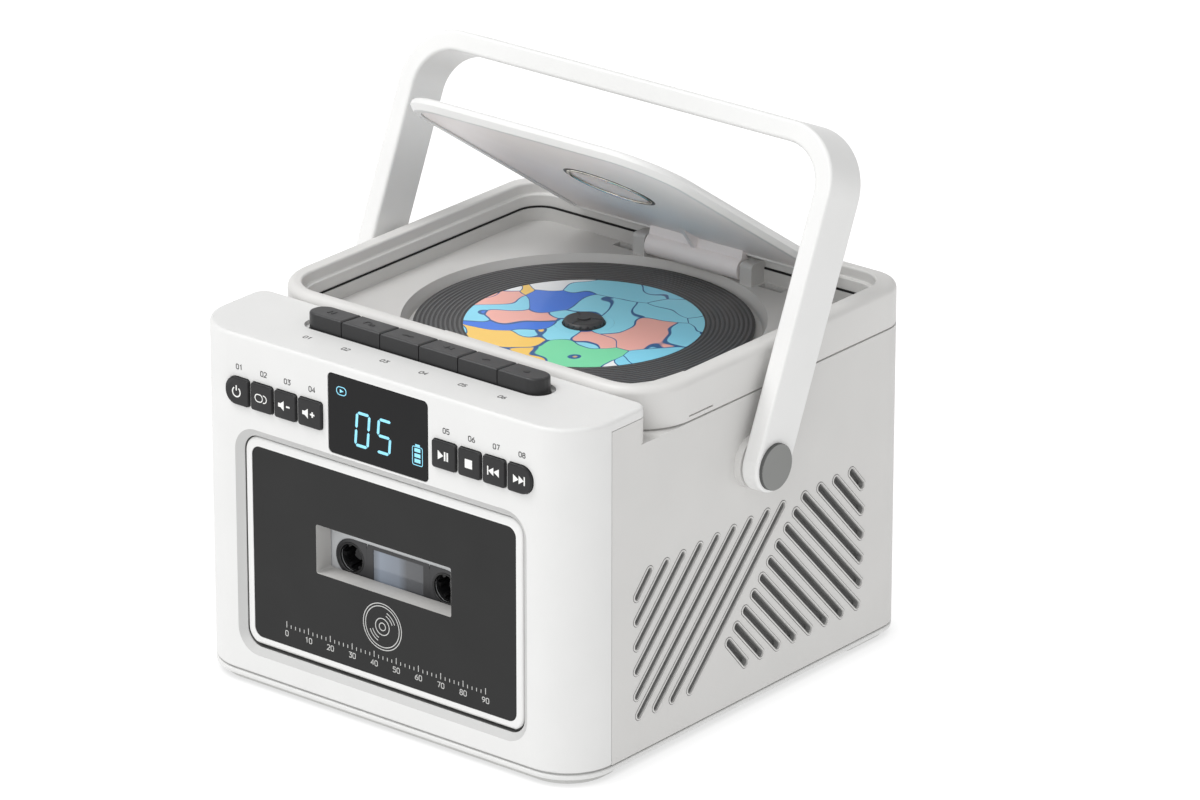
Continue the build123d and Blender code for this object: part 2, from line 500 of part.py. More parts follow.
# hinge ears at the bottom corners
for s in (-1, 1):
    x0, x1 = sorted((s * 56.5, s * 60.0))
    frame += box(x0, x1, 5.0, 8.6, DOOR_AX_Z - 1.9, DOOR_AX_Z + 4)
    x0, x1 = sorted((s * 57.0, s * 63.0))
    frame -= cyl_x(1.06, x0, x1, DOOR_AX_Y, DOOR_AX_Z)
keep("door_frame", frame)
panel = fprism(rrect(-PANEL_HW, PANEL_HW, PANEL_Z0, PANEL_Z1, 3.5)
               - rrect(-WIN_HW, WIN_HW, WIN_Z0, WIN_Z1, 0.8), DOOR_Y + 0.1, DOOR_Y + 1.25)
keep("door_panel", panel)
CAS_BOT = CAS_TOP - CAS_H
holder = box(-53.4, 53.4, 5.6, 20.4, CAS_BOT - 2.0, CAS_BOT)
for s in (-1, 1):
    x0, x1 = sorted((s * 50.5, s * 53.4))
    holder += box(x0, x1, 5.6, 20.4, CAS_BOT - 0.1, 66.0)
    x0, x1 = sorted((s * 44.0, s * 53.4))
    holder += box(x0, x1, CAS_Y + CAS_T + 0.15, 20.4, CAS_BOT - 0.1, 66.0)
keep("cassette_holder", holder)

cas = box(-CAS_W / 2, CAS_W / 2, CAS_Y, CAS_Y + CAS_T, CAS_BOT, CAS_TOP)
thick = make_face(Polyline((-34, CAS_TOP), (34, CAS_TOP), (30.5, CAS_TOP - 16.5), (-30.5, CAS_TOP - 16.5), close=True))
cas += fprism(thick, CAS_Y - 1.65, CAS_Y + CAS_T + 1.65)
cas = soften(cas, cas.edges().filter_by(Axis.Y).filter_by_position(Axis.X, -51, -50), (2.0, 1.5))
cas = soften(cas, cas.edges().filter_by(Axis.Y).filter_by_position(Axis.X, 50, 51), (2.0, 1.5))
# inside: reels' space, hub holes, rear-open notches for head, capstan and roller
for s in (-1, 1):
    cas -= cyl_y(8.6, s * REEL_X, CAS_Y + 1.2, CAS_Y + CAS_T - 1.2, REEL_Z)
    cas -= cyl_y(5.4, s * REEL_X, CAS_Y - 3, CAS_Y + CAS_T + 3, REEL_Z)
cas -= box(-10, 10, CAS_Y + 0.6, CAS_Y + 20, CAS_TOP - 7.2, CAS_TOP + 2)
for s in (-1, 1):
    x0, x1 = sorted((s * 12.6, s * 26.4))
    cas -= box(x0, x1, CAS_Y + 0.6, CAS_Y + 20, CAS_TOP - 12.4, CAS_TOP + 2)
# small clear-view opening between the reels
cas -= fprism(rrect(-11.5, 11.5, REEL_Z - 6.0, REEL_Z + 6.0, 1.0), CAS_Y - 1, CAS_Y + 1.3)
keep("cassette_shell", cas)


def spline_ring(r_out, r_in, r_tooth, tooth_w, n):
    s = Circle(r_out) - Circle(r_in)
    for k in range(n):
        s += Rot(0, 0, 360 / n * k) * Pos((r_in + 0.3 + r_tooth) / 2, 0) * Rectangle(r_in + 0.3 - r_tooth, tooth_w)
    return s


for nm, s in (("reel_hub_left", -1), ("reel_hub_right", 1)):
    hub = fprism(Pos(s * REEL_X, REEL_Z) * spline_ring(8.2, 4.9, 3.8, 1.3, 6), CAS_Y + 1.5, CAS_Y + CAS_T - 1.5)
    keep(nm, hub)

# ----------------------------------------------------------------- tape drive
chassis = box(-58, 58, CH_Y, CH_Y + 1.6, 24.0, 95.0)
chassis += box(-58, -54, CH_Y, CH_Y + 14, 24.0, 95.0) + box(54, 58, CH_Y, CH_Y + 14, 24.0, 95.0)
for s in (-1, 1):
    chassis -= cyl_y(1.56, s * REEL_X, CH_Y - 1, CH_Y + 4, REEL_Z)
chassis -= cyl_y(CAPST_R + 0.06, CAP_X, CH_Y - 1, CH_Y + 4, CAPST_Z)
for s in (-1, 1):
    x0, x1 = sorted((s * 57.5, s * 66.0))
    chassis += box(x0, x1, CH_Y, CH_Y + 1.6, 30.0, 90.0)
    x0, x1 = sorted((s * 64.2, s * 66.0))
    chassis += box(x0, x1, 7.0, CH_Y + 1.6, 30.0, 90.0)
chassis += box(-57.0, -18.0, 35.0, 36.0, 50.0, 78.0)
chassis -= cyl_y(3.4, MOT_X, 34.0, 37.0, MOT_Z)
chassis += box(8.0, 57.0, 36.4, 38.0, 77.0, 88.0)
chassis -= cyl_y(CAPST_R + 0.06, CAP_X, 35.0, 39.0, CAPST_Z)
keep("tape_chassis", chassis)
for nm, s in (("supply_spindle", -1), ("takeup_spindle", 1)):
    sp = cyl_y(2.0, s * REEL_X, CAS_Y + 4.2, CH_Y - 0.3, REEL_Z)
    sp += cyl_y(6.5, s * REEL_X, CH_Y - 2.6, CH_Y - 0.3, REEL_Z)
    for k in range(3):
        sp += Pos(s * REEL_X, 0, REEL_Z) * Rot(0, 120 * k + 30, 0) * box(0, 2.7, CAS_Y + 4.6, CH_Y - 2.0, -0.5, 0.5)
    sp += cyl_y(1.5, s * REEL_X, CH_Y - 0.5, CH_Y + 4.0, REEL_Z)
    sp += cyl_y(9.0 if s > 0 else 5.0, s * REEL_X, CH_Y + 2.0, CH_Y + 4.2, REEL_Z)
    keep(nm, sp)
fly = cyl_y(FLY_R, CAP_X, 30.0, 35.0, CAPST_Z)
fly -= (cyl_y(FLY_R + 1, CAP_X, 31.5, 33.1, CAPST_Z) - cyl_y(FLY_GROOVE, CAP_X, 31, 34, CAPST_Z))
fly += cyl_y(CAPST_R, CAP_X, CAS_Y + 5.0, 37.5, CAPST_Z)
keep("capstan_flywheel", fly)
pul = cyl_y(4.4, MOT_X, 30.2, 34.6, MOT_Z)
pul -= (cyl_y(6, MOT_X, 31.5, 33.1, MOT_Z) - cyl_y(PUL_GROOVE, MOT_X, 31, 34, MOT_Z))
pul -= cyl_y(1.0, MOT_X, 32.0, 36, MOT_Z)
keep("motor_pulley", pul)
motor = cyl_y(12.5, MOT_X, 36.0, 56.0, MOT_Z) + cyl_y(3.2, MOT_X, 35.2, 36.2, MOT_Z)
motor += cyl_y(0.95, MOT_X, 32.4, 36.0, MOT_Z)
keep("tape_motor", motor)
d = math.hypot(CAP_X - MOT_X, CAPST_Z - MOT_Z)
ang = math.degrees(math.atan2(CAPST_Z - MOT_Z, CAP_X - MOT_X))


def belt_face(grow):
    """Outline round pulley and flywheel, with straight tangent runs."""
    r1, r2 = PUL_GROOVE + 0.3 + grow, FLY_GROOVE + 0.3 + grow
    th = math.acos((r1 - r2) / d)
    p = lambda c, r, t: (c + r * math.cos(t), r * math.sin(t))
    a1, a2 = p(0, r1, th), p(d, r2, th)
    b1, b2 = p(0, r1, -th), p(d, r2, -th)
    w = [Line(a1, a2), ThreePointArc(a2, (d + r2, 0), b2), Line(b2, b1), ThreePointArc(b1, (-r1, 0), a1)]
    return make_face(Curve() + w)


belt = fprism(Pos(MOT_X, MOT_Z) * Rot(0, 0, ang) * (belt_face(1.1) - belt_face(0.0)), 31.8, 32.8)
keep("drive_belt", belt)
# head plate: slides down with the play key, carries the head
hp = box(-36, 38, 22.0, 23.4, 92.2, 103.4)
hp += box(-7.0, 7.0, 14.0, 22.2, 94.0, 101.0)
hp += box(-5.5, 5.5, 14.6, 20.0, 91.2, 94.2)
hp += box(15.5, 23.5, 20.7, 22.2, 90.0, 99.0)
PLAY_X = KX0 + KEY_PITCH * 4.5
hp += box(PLAY_X - 3.2, PLAY_X + 3.2, 22.0, 23.4, 103.0, 107.6) + box(PLAY_X - 3.2, PLAY_X + 3.2, 22.0, 28.0, 106.0, 107.6)
ROLL_Z = CAPST_Z + CAPST_R + 5.0 + 0.1 + KEY_TRAVEL
hp += cyl_y(1.5, CAP_X, 13.2, 21.0, ROLL_Z)
keep("head_plate", hp)
keep("pinch_roller", cyl_y(5.0, CAP_X, 13.6, 19.8, ROLL_Z) - cyl_y(1.56, CAP_X, 13, 21, ROLL_Z))

# ----------------------------------------------------------- disc and its drive
disc = cyl_z(DISC_R, 0, CDY, DISC_Z, DISC_Z + DISC_T) - cyl_z(DISC_HOLE, 0, CDY, DISC_Z - 1, DISC_Z + 3)
disc = soften(disc, disc.edges().filter_by(GeomType.CIRCLE).filter_by_position(Axis.Z, DISC_Z - 0.01, DISC_Z + 2), (0.25,))
keep("cd_disc", disc)
tt = cyl_z(15.0, 0, CDY, 115.3, DISC_Z) + cyl_z(HUB_R, 0, CDY, DISC_Z - 0.2, 119.4)
tt = soften(tt, tt.edges().filter_by_position(Axis.Z, 119.39, 119.41), (1.4, 1.0))
for k in range(18):
    a = math.radians(20 * k)
    tt -= cyl_z(0.55, (HUB_R + 0.2) * math.cos(a), CDY + (HUB_R + 0.2) * math.sin(a), 117.9, 121)
tt += cyl_z(2.4, 0, CDY, 119.0, 119.9)
tt -= cyl_z(1.05, 0, CDY, 110, 116.0)
tt += cyl_z(3.0, 0, CDY, 113.4, 115.5) - cyl_z(1.05, 0, CDY, 110, 118)
keep("turntable", tt)
sm = cyl_z(11.5, 0, CDY, 100.0, 111.6) + cyl_z(3.4, 0, CDY, 111.4, 112.4) + cyl_z(1.0, 0, CDY, 112, 115.6)
keep("spindle_motor", sm)
dc = plan(62.0, 40.6, 172.0, 96.0, 98.0, 8.0, 8.0)
dc -= box(-22, 22, 50.0, 96.0, 95, 99)
for x, y in ((-52, 52), (52, 52), (-52, 164), (52, 164)):
    dc += cyl_z(4.0, x, y, 97.5, Z_SH)
dc += cyl_z(13.5, 0, CDY, 97.5, 101.0) - cyl_z(11.55, 0, CDY, 100.0, 102)
for x in (-15.0, 15.0):
    for y0, y1 in ((41.0, 44.6), (97.6, 100.0)):
        dc += box(x - 3.0, x + 3.0, y0, y1, 97.5, 108.5)
        dc -= cyl_y(1.52, x, y0 - 0.6, y1 + 0.6, 106.0)
RACK_X = -25.0                 # pitch line of the sled's rack
G_X = RACK_X - G_R
G_Y = 76.0
dc += cyl_z(1.5, G_X, G_Y, 97.5, 107.0)
keep("disc_chassis", dc)
keep("guide_rails", Compound(children=[cyl_y(1.5, -15.0, 41.1, 99.9, 106.0), cyl_y(1.5, 15.0, 41.1, 99.9, 106.0)]))


def involute_gear(m, z, bore, thin):
    """Spur gear outline, pressure angle 20 degrees, teeth a little thin."""
    rp, ra = m * z / 2, m * z / 2 + 0.85 * m
    rb, rr = rp * math.cos(math.radians(20)), m * z / 2 - 1.15 * m
    inv = lambda a: math.tan(a) - a
    half = math.pi / (2 * z) - thin / (2 * rp) + inv(math.radians(20))
    pts = []
    for k in range(z):
        c = 2 * math.pi * k / z
        left, right = [], []
        n = 3
        r0 = max(rb, rr)
        for i in range(n + 1):
            r = r0 + (ra - r0) * i / n
            a = math.acos(min(1.0, rb / r))
            t = half - inv(a)
            left.append((r, c - t))
            right.append((r, c + t))
        pts.append((rr, left[0][1]))
        pts += left
        pts += right[::-1]
        pts.append((rr, right[0][1]))
    return [(r * math.cos(t), r * math.sin(t)) for r, t in pts]


BACK = 0.16
gp = involute_gear(G_MOD, G_TEETH, 1.56, BACK)
gear = extrude(Pos(G_X, G_Y, 102.0) * (make_face(Polyline(*gp, close=True)) - Circle(1.56)), 4.0)
gear += cyl_z(3.2, G_X, G_Y, 98.4, 102.2) - cyl_z(1.56, G_X, G_Y, 97, 108)
keep("sled_gear", gear)
# sled with the lens on top and a rack along its left side
SY0, SY1 = 79.0, 92.0
sled = box(-19.5, 19.5, SY0, SY1, 101.6, 109.6)
sled += box(-6.0, 6.0, 79.5, 91.0, 109.4, 112.2)
sled += cyl_z(3.4, 0, 85.2, 112.0, 114.4)
for x in (-15.0, 15.0):
    sled -= cyl_y(1.56, x, SY0 - 1, SY1 + 1, 106.0)
pitch = math.pi * G_MOD
teeth_n = int((SLED_TRAVEL + 9.0) / pitch) + 1
rack_len0, rack_len1 = G_Y - 5.2, G_Y + SLED_TRAVEL + 5.6
sled += box(RACK_X + 1.15 * G_MOD, -19.4, rack_len0, rack_len1, 102.2, 105.8)
tan20 = math.tan(math.radians(20))
k0 = math.ceil((rack_len0 - G_Y) / pitch - 0.5)
ht = (pitch / 2 - BACK) / 2
for k in range(-3, 60):
    yc = G_Y + (k + 0.5) * pitch
    if yc + 1.2 > rack_len1 or yc - 1.2 < rack_len0:
        continue
    ad, de = 0.85 * G_MOD, 1.15 * G_MOD + 0.05
    face = make_face(Polyline((RACK_X - ad, yc - ht + ad * tan20), (RACK_X + de, yc - ht - de * tan20),
                              (RACK_X + de, yc + ht + de * tan20), (RACK_X - ad, yc + ht - ad * tan20), close=True))
    sled += extrude(Pos(0, 0, 102.2) * face, 3.6)
keep("pickup_sled", sled)

# -------------------------------------------------------- boards and speakers
keep("main_board", box(-54, 54, 66.0, 168.0, 34.0, 35.6)
     + box(-20, 0, 90, 110, 35.5, 38.0) + box(10, 22, 130, 142, 35.5, 44.0) + box(-40, -30, 130, 150, 35.5, 50.0)
     + box(28, 40, 80, 100, 35.5, 47.0))
SPY, SPZ = 96.0, 44.3
frames, cones, cloths = [], [], []
for s in (-1, 1):
    a, b = sorted((s * 80.9, s * 83.5))
    f = cyl_x(27.5, a, b, SPY, SPZ)
    a2, b2 = sorted((s * 79.0, s * 84.0))
    f -= cyl_x(23.6, a2, b2, SPY, SPZ)
    cone_out = loft([PS(s * 81.0) * Pos(SPY, SPZ) * Circle(25.0), PS(s * 70.0) * Pos(SPY, SPZ) * Circle(14.0)])
    cone_in = loft([PS(s * 81.2) * Pos(SPY, SPZ) * Circle(23.6), PS(s * 70.0) * Pos(SPY, SPZ) * Circle(12.6)])
    f += (cone_out - cone_in)
    a, b = sorted((s * 62.0, s * 70.4))
    f += cyl_x(16.0, a, b, SPY, SPZ)
    frames.append(f)
    co = loft([PS(s * 81.6) * Pos(SPY, SPZ) * Circle(22.6), PS(s * 72.6) * Pos(SPY, SPZ) * Circle(8.0)])
    ci = loft([PS(s * 82.6) * Pos(SPY, SPZ) * Circle(22.8), PS(s * 73.4) * Pos(SPY, SPZ) * Circle(7.6)])
    cone = co - ci
    a, b = sorted((s * 72.0, s * 73.6))
    cone += cyl_x(8.0, a, b, SPY, SPZ)
    cones.append(cone)
    a, b = sorted((s * (HW - WALL - 0.5), s * (HW - WALL)))
    cloths.append(box(a, b, 29.0, 161.0, 15.6, 73.6))
keep("speaker_frames", Compound(children=frames))
keep("speaker_cones", Compound(children=cones))
keep("grille_cloths", Compound(children=cloths))
bat = box(-36, 36, 124.0, 162.0, Z0, 24.2)
bat = soften(bat, bat.edges().filter_by(Axis.X), (3.0, 2.0))
keep("battery_pack", bat)
sock = fprism(rrect(SOCK_X - 5.4, SOCK_X + 5.4, SOCK_Z - 2.6, SOCK_Z + 2.6, 1.8), YB - 9.0, YB - 0.4)
sock -= fprism(rrect(SOCK_X - 4.5, SOCK_X + 4.5, SOCK_Z - 1.65, SOCK_Z + 1.65, 1.6), YB - 7.0, YB + 1)
sock += box(SOCK_X - 3.2, SOCK_X + 3.2, YB - 8, YB - 1.8, SOCK_Z - 0.35, SOCK_Z + 0.35)
sock += fprism(rrect(SOCK_X - 8.0, SOCK_X + 8.0, SOCK_Z - 4.8, SOCK_Z + 4.8, 1.8), YB - 4.2, YB - WALL)
sock -= fprism(rrect(SOCK_X - 4.5, SOCK_X + 4.5, SOCK_Z - 1.65, SOCK_Z + 1.65, 1.6)
               - rrect(SOCK_X - 3.2, SOCK_X + 3.2, SOCK_Z - 0.35, SOCK_Z + 0.35, 0.1), YB - 7.0, YB + 1)
keep("power_socket", sock)

# ---------------------------------------------------------------------- write
SHIFT = Pos(0, Y_SHIFT, 0)
for name, shape in parts.items():
    moved = SHIFT * shape
    export_step(moved, os.path.join(OUT, name + ".step"))
print(len(parts), "pieces")
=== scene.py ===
import math
import random

import bmesh
import bpy
from mathutils import Matrix, Vector


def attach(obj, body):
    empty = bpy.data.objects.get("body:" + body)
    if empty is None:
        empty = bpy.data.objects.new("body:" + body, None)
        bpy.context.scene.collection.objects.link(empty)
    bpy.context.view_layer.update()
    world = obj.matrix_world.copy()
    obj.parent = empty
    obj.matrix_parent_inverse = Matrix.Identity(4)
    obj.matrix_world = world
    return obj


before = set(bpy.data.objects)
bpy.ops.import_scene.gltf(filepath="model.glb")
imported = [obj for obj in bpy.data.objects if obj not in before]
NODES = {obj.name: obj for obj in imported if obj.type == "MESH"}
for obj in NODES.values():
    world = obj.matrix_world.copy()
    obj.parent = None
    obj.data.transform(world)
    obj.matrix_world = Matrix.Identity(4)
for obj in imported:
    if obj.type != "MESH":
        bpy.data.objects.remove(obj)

random.seed(7)
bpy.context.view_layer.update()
MM = 0.001
YS = -92.0          # millimetres: depth behind the front face to the row's Y


def V(x, y, z):
    """Millimetres (x, depth behind the front face, height) to the row frame in metres."""
    return Vector((x * MM, (y + YS) * MM, z * MM))


# ------------------------------------------------------------------- camera
AZ, EL = math.radians(39.194), math.radians(21.768)
DIST, TX, TY, ROLL = 2507.84, -75.326, -111.870, math.radians(0.031)
back = Vector((math.sin(AZ) * math.cos(EL), -math.cos(AZ) * math.cos(EL), math.sin(EL)))
fwd = -back
right0 = Vector((math.cos(AZ), math.sin(AZ), 0))
up0 = right0.cross(fwd)
right = math.cos(ROLL) * right0 + math.sin(ROLL) * up0
up = -math.sin(ROLL) * right0 + math.cos(ROLL) * up0
C = -TX * right - TY * up - DIST * fwd
C = Vector((C.x, C.y + YS, C.z + 2.2)) * MM
cam_data = bpy.data.cameras.new("camera")
cam_data.sensor_width = 36.0
cam_data.lens = 218.5
cam_data.clip_start, cam_data.clip_end = 0.05, 50
cam = bpy.data.objects.new("camera", cam_data)
cam.matrix_world = Matrix(((right.x, up.x, back.x, C.x), (right.y, up.y, back.y, C.y),
                           (right.z, up.z, back.z, C.z), (0, 0, 0, 1)))
bpy.context.scene.collection.objects.link(cam)
bpy.context.scene.camera = cam
bpy.context.scene.view_settings.view_transform = "Standard"


# ---------------------------------------------------------------- materials
def lin(c):
    return c / 12.92 if c <= 0.04045 else ((c + 0.055) / 1.055) ** 2.4


def srgb(r, g, b):
    return (lin(r / 255), lin(g / 255), lin(b / 255), 1.0)


def node(nt, kind, **kw):
    n = nt.nodes.new(kind)
    for k, v in kw.items():
        setattr(n, k, v)
    return n


def plastic(name, color, rough=0.4, grain=2200.0, bump=0.06, vary=0.03, spec=0.5, mottle=55.0,
            rough_vary=0.05, metallic=0.0, coat=0.0, wear=0.0):
    """Moulded or painted surface: fine grain in the bump, slow drift in tone and gloss,
    and optionally lighter worn edges."""
    m = bpy.data.materials.new(name)
    m.use_nodes = True
    nt = m.node_tree
    bs = nt.nodes["Principled BSDF"]
    bs.inputs["Metallic"].default_value = metallic
    bs.inputs["Specular IOR Level"].default_value = spec
    if coat:
        bs.inputs["Coat Weight"].default_value = coat
        bs.inputs["Coat Roughness"].default_value = 0.05
    tc = node(nt, "ShaderNodeTexCoord")
    n1 = node(nt, "ShaderNodeTexNoise")
    n1.inputs["Scale"].default_value = mottle
    n1.inputs["Detail"].default_value = 3
    nt.links.new(tc.outputs["Object"], n1.inputs["Vector"])
    ramp = node(nt, "ShaderNodeValToRGB")
    c = color
    lo = tuple(max(0, x * (1 - vary)) for x in c[:3]) + (1,)
    hi = tuple(min(1, x * (1 + vary)) for x in c[:3]) + (1,)
    ramp.color_ramp.elements[0].position = 0.3
    ramp.color_ramp.elements[1].position = 0.7
    ramp.color_ramp.elements[0].color = lo
    ramp.color_ramp.elements[1].color = hi
    nt.links.new(n1.outputs["Fac"], ramp.inputs["Fac"])
    col = ramp.outputs["Color"]
    if wear:
        geo = node(nt, "ShaderNodeNewGeometry")
        wr = node(nt, "ShaderNodeMapRange")
        wr.inputs["From Min"].default_value = 0.52
        wr.inputs["From Max"].default_value = 0.62
        wr.inputs["To Max"].default_value = wear
        nt.links.new(geo.outputs["Pointiness"], wr.inputs["Value"])
        mx = node(nt, "ShaderNodeMix", data_type="RGBA")
        nt.links.new(wr.outputs["Result"], mx.inputs[0])
        nt.links.new(col, mx.inputs[6])
        mx.inputs[7].default_value = tuple(min(1, x * 1.6 + 0.05) for x in c[:3]) + (1,)
        col = mx.outputs[2]
    nt.links.new(col, bs.inputs["Base Color"])
    rr = node(nt, "ShaderNodeMapRange")
    rr.inputs["To Min"].default_value = max(0.02, rough - rough_vary)
    rr.inputs["To Max"].default_value = rough + rough_vary
    n2 = node(nt, "ShaderNodeTexNoise")
    n2.inputs["Scale"].default_value = mottle * 4
    nt.links.new(tc.outputs["Object"], n2.inputs["Vector"])
    nt.links.new(n2.outputs["Fac"], rr.inputs["Value"])
    nt.links.new(rr.outputs["Result"], bs.inputs["Roughness"])
    n3 = node(nt, "ShaderNodeTexNoise")
    n3.inputs["Scale"].default_value = grain
    n3.inputs["Detail"].default_value = 2
    nt.links.new(tc.outputs["Object"], n3.inputs["Vector"])
    bp = node(nt, "ShaderNodeBump")
    bp.inputs["Strength"].default_value = bump
    bp.inputs["Distance"].default_value = 0.0002
    nt.links.new(n3.outputs["Fac"], bp.inputs["Height"])
    nt.links.new(bp.outputs["Normal"], bs.inputs["Normal"])
    return m


M = {}
M["white"] = plastic("white_abs", srgb(221, 221, 220), rough=0.42, vary=0.012)
M["frame"] = plastic("frame_abs", srgb(226, 226, 225), rough=0.38, vary=0.012)
M["cab"] = plastic("cabinet_abs", srgb(209, 208, 206), rough=0.5, vary=0.015, bump=0.1)
M["rim"] = plastic("rim_abs", srgb(212, 211, 209), rough=0.42, vary=0.012)
M["base"] = plastic("base_abs", srgb(216, 216, 214), rough=0.5, vary=0.015, bump=0.1)
M["deck"] = plastic("deck_abs", srgb(200, 199, 197), rough=0.42, vary=0.015)
M["dish"] = plastic("dish_abs", srgb(252, 240, 236), rough=0.4, vary=0.015)
M["liner"] = plastic("liner_abs", srgb(248, 242, 241), rough=0.4, vary=0.015)
M["lid"] = plastic("lid_abs", srgb(226, 226, 225), rough=0.38, vary=0.012)
M["handle"] = plastic("handle_abs", srgb(229, 229, 228), rough=0.36, vary=0.012)
M["dark"] = plastic("charcoal", srgb(62, 62, 63), rough=0.42, vary=0.06, bump=0.12)
M["slot"] = plastic("slot_grey", srgb(150, 150, 149), rough=0.6, vary=0.06, bump=0.2, spec=0.3)
M["softline"] = plastic("line_grey", srgb(176, 176, 175), rough=0.7, vary=0.04, bump=0.1, spec=0.2)
M["gap"] = plastic("gap_grey", srgb(98, 98, 97), rough=0.7, vary=0.06, bump=0.1, spec=0.2)
M["keymark"] = plastic("key_mark", srgb(36, 36, 37), rough=0.35, vary=0.05, bump=0.05)
M["button"] = plastic("button_charcoal", srgb(34, 34, 35), rough=0.36, vary=0.05, bump=0.08, wear=0.3, spec=0.3)
M["door"] = plastic("door_charcoal", srgb(37, 37, 37), rough=0.42, vary=0.06, bump=0.1, spec=0.2)
M["lens"] = plastic("lens_gloss", srgb(24, 24, 25), rough=0.2, vary=0.03, bump=0.01, rough_vary=0.03, spec=0.16)
# painted shade meant for the side of the handle caps; no part is given it
M["capside"] = plastic("cap_edge", srgb(96, 97, 95), rough=0.5, vary=0.03)
M["rubber"] = plastic("foot_rubber", srgb(206, 206, 204), rough=0.8, vary=0.04, bump=0.25)
M["steel"] = plastic("plated_steel", srgb(190, 190, 190), rough=0.3, vary=0.05, metallic=1.0)
M["bright"] = plastic("bright_ring", srgb(226, 224, 214), rough=0.14, vary=0.04, metallic=1.0, bump=0.02)
M["motor"] = plastic("motor_can", srgb(160, 160, 158), rough=0.35, vary=0.05, metallic=1.0)
M["board"] = plastic("circuit_board", srgb(32, 92, 52), rough=0.5, vary=0.2, mottle=400)
M["cloth"] = plastic("speaker_cloth", srgb(104, 104, 103), rough=0.95, vary=0.3, grain=4500, bump=0.8, mottle=2500)
M["cone"] = plastic("paper_cone", srgb(28, 28, 29), rough=0.9, vary=0.2, bump=0.5)
M["belt"] = plastic("black_rubber", srgb(24, 24, 24), rough=0.75, vary=0.1, bump=0.3)
M["cell"] = plastic("cell_wrap", srgb(34, 74, 140), rough=0.4, vary=0.08)
M["cassette"] = plastic("cassette_shell", srgb(196, 198, 200), rough=0.3, vary=0.03)
M["inlay"] = plastic("cassette_inlay", srgb(46, 46, 48), rough=0.3, vary=0.05)
M["hub"] = plastic("hub_black", srgb(26, 26, 27), rough=0.3, vary=0.08)
M["nylon"] = plastic("white_nylon", srgb(225, 224, 220), rough=0.5, vary=0.03)
M["mark"] = plastic("print_white", srgb(236, 236, 234), rough=0.45, vary=0.02, bump=0.02)
M["markgrey"] = plastic("print_grey", srgb(84, 84, 84), rough=0.5, vary=0.03, bump=0.02)
M["doormark"] = plastic("print_silver", srgb(196, 196, 194), rough=0.4, vary=0.04, bump=0.02)
M["ridge"] = plastic("disc_black", srgb(40, 40, 41), rough=0.3, vary=0.05, bump=0.02)
M["groove"] = plastic("ridge_highlight_grey", srgb(86, 86, 87), rough=0.34, vary=0.05, bump=0.02)
M["seal"] = plastic("seal_black", srgb(34, 34, 34), rough=0.7, vary=0.1, bump=0.2, spec=0.2)
M["seam"] = plastic("painted_shade_grey", srgb(108, 108, 107), rough=0.7, vary=0.04, bump=0.05, spec=0.2)
M["tunnel"] = plastic("tunnel_grey", srgb(186, 185, 183), rough=0.6, vary=0.05, bump=0.3)


def shade_by_facing(name, flat, side, axis="X", lo=0.55, hi=0.9, **kw):
    """Moulding whose faces along an axis are painted lighter than the faces round them: painted light on those faces,
    painted shade on the others.
    """
    kw = kw or {"rough": 0.5, "vary": 0.03}
    m = plastic(name, flat, **kw)
    nt = m.node_tree
    bs = nt.nodes["Principled BSDF"]
    old = bs.inputs["Base Color"].links[0].from_socket
    geo = node(nt, "ShaderNodeNewGeometry")
    sep = node(nt, "ShaderNodeSeparateXYZ")
    nt.links.new(geo.outputs["Normal"], sep.inputs[0])
    ab = node(nt, "ShaderNodeMath", operation="ABSOLUTE")
    nt.links.new(sep.outputs[axis], ab.inputs[0])
    mr = node(nt, "ShaderNodeMapRange")
    mr.inputs["From Min"].default_value = lo
    mr.inputs["From Max"].default_value = hi
    nt.links.new(ab.outputs[0], mr.inputs["Value"])
    mx = node(nt, "ShaderNodeMix", data_type="RGBA")
    nt.links.new(mr.outputs["Result"], mx.inputs[0])
    mx.inputs[6].default_value = side
    nt.links.new(old, mx.inputs[7])
    nt.links.new(mx.outputs[2], bs.inputs["Base Color"])
    return m


def paint_recess_shade(m, hx, z0, z1, tone):
    """Paints a darker tone on the sloping faces inside a window of the front: painted shade in the recess round the
    door.
    """
    nt = m.node_tree
    bs = nt.nodes["Principled BSDF"]
    old = bs.inputs["Base Color"].links[0].from_socket
    tc = node(nt, "ShaderNodeTexCoord")
    at = node(nt, "ShaderNodeSeparateXYZ")
    nt.links.new(tc.outputs["Object"], at.inputs[0])
    geo = node(nt, "ShaderNodeNewGeometry")
    nor = node(nt, "ShaderNodeSeparateXYZ")
    nt.links.new(geo.outputs["Normal"], nor.inputs[0])

    def calc(op, a, b=None):
        n = node(nt, "ShaderNodeMath", operation=op)
        for k, x in enumerate((a, b)):
            if isinstance(x, (int, float)):
                n.inputs[k].default_value = x
            elif x is not None:
                nt.links.new(x, n.inputs[k])
        return n.outputs[0]

    mask = calc("LESS_THAN", calc("ABSOLUTE", at.outputs["X"]), hx)
    mask = calc("MULTIPLY", mask, calc("GREATER_THAN", at.outputs["Z"], z0))
    mask = calc("MULTIPLY", mask, calc("LESS_THAN", at.outputs["Z"], z1))
    mask = calc("MULTIPLY", mask, calc("LESS_THAN", calc("ABSOLUTE", nor.outputs["Y"]), 0.97))
    mx = node(nt, "ShaderNodeMix", data_type="RGBA")
    nt.links.new(mask, mx.inputs[0])
    nt.links.new(old, mx.inputs[6])
    mx.inputs[7].default_value = tone
    nt.links.new(mx.outputs[2], bs.inputs["Base Color"])


# painted shade: the sloping faces of the recess round the door are given a darker grey
paint_recess_shade(M["white"], 0.0656, 0.0124, 0.0976, srgb(193, 193, 192))
# painted shade: the side of each handle cap is a darker grey than its outer face
M["capgrey"] = shade_by_facing("cap_grey", srgb(127, 128, 126), srgb(80, 81, 80))
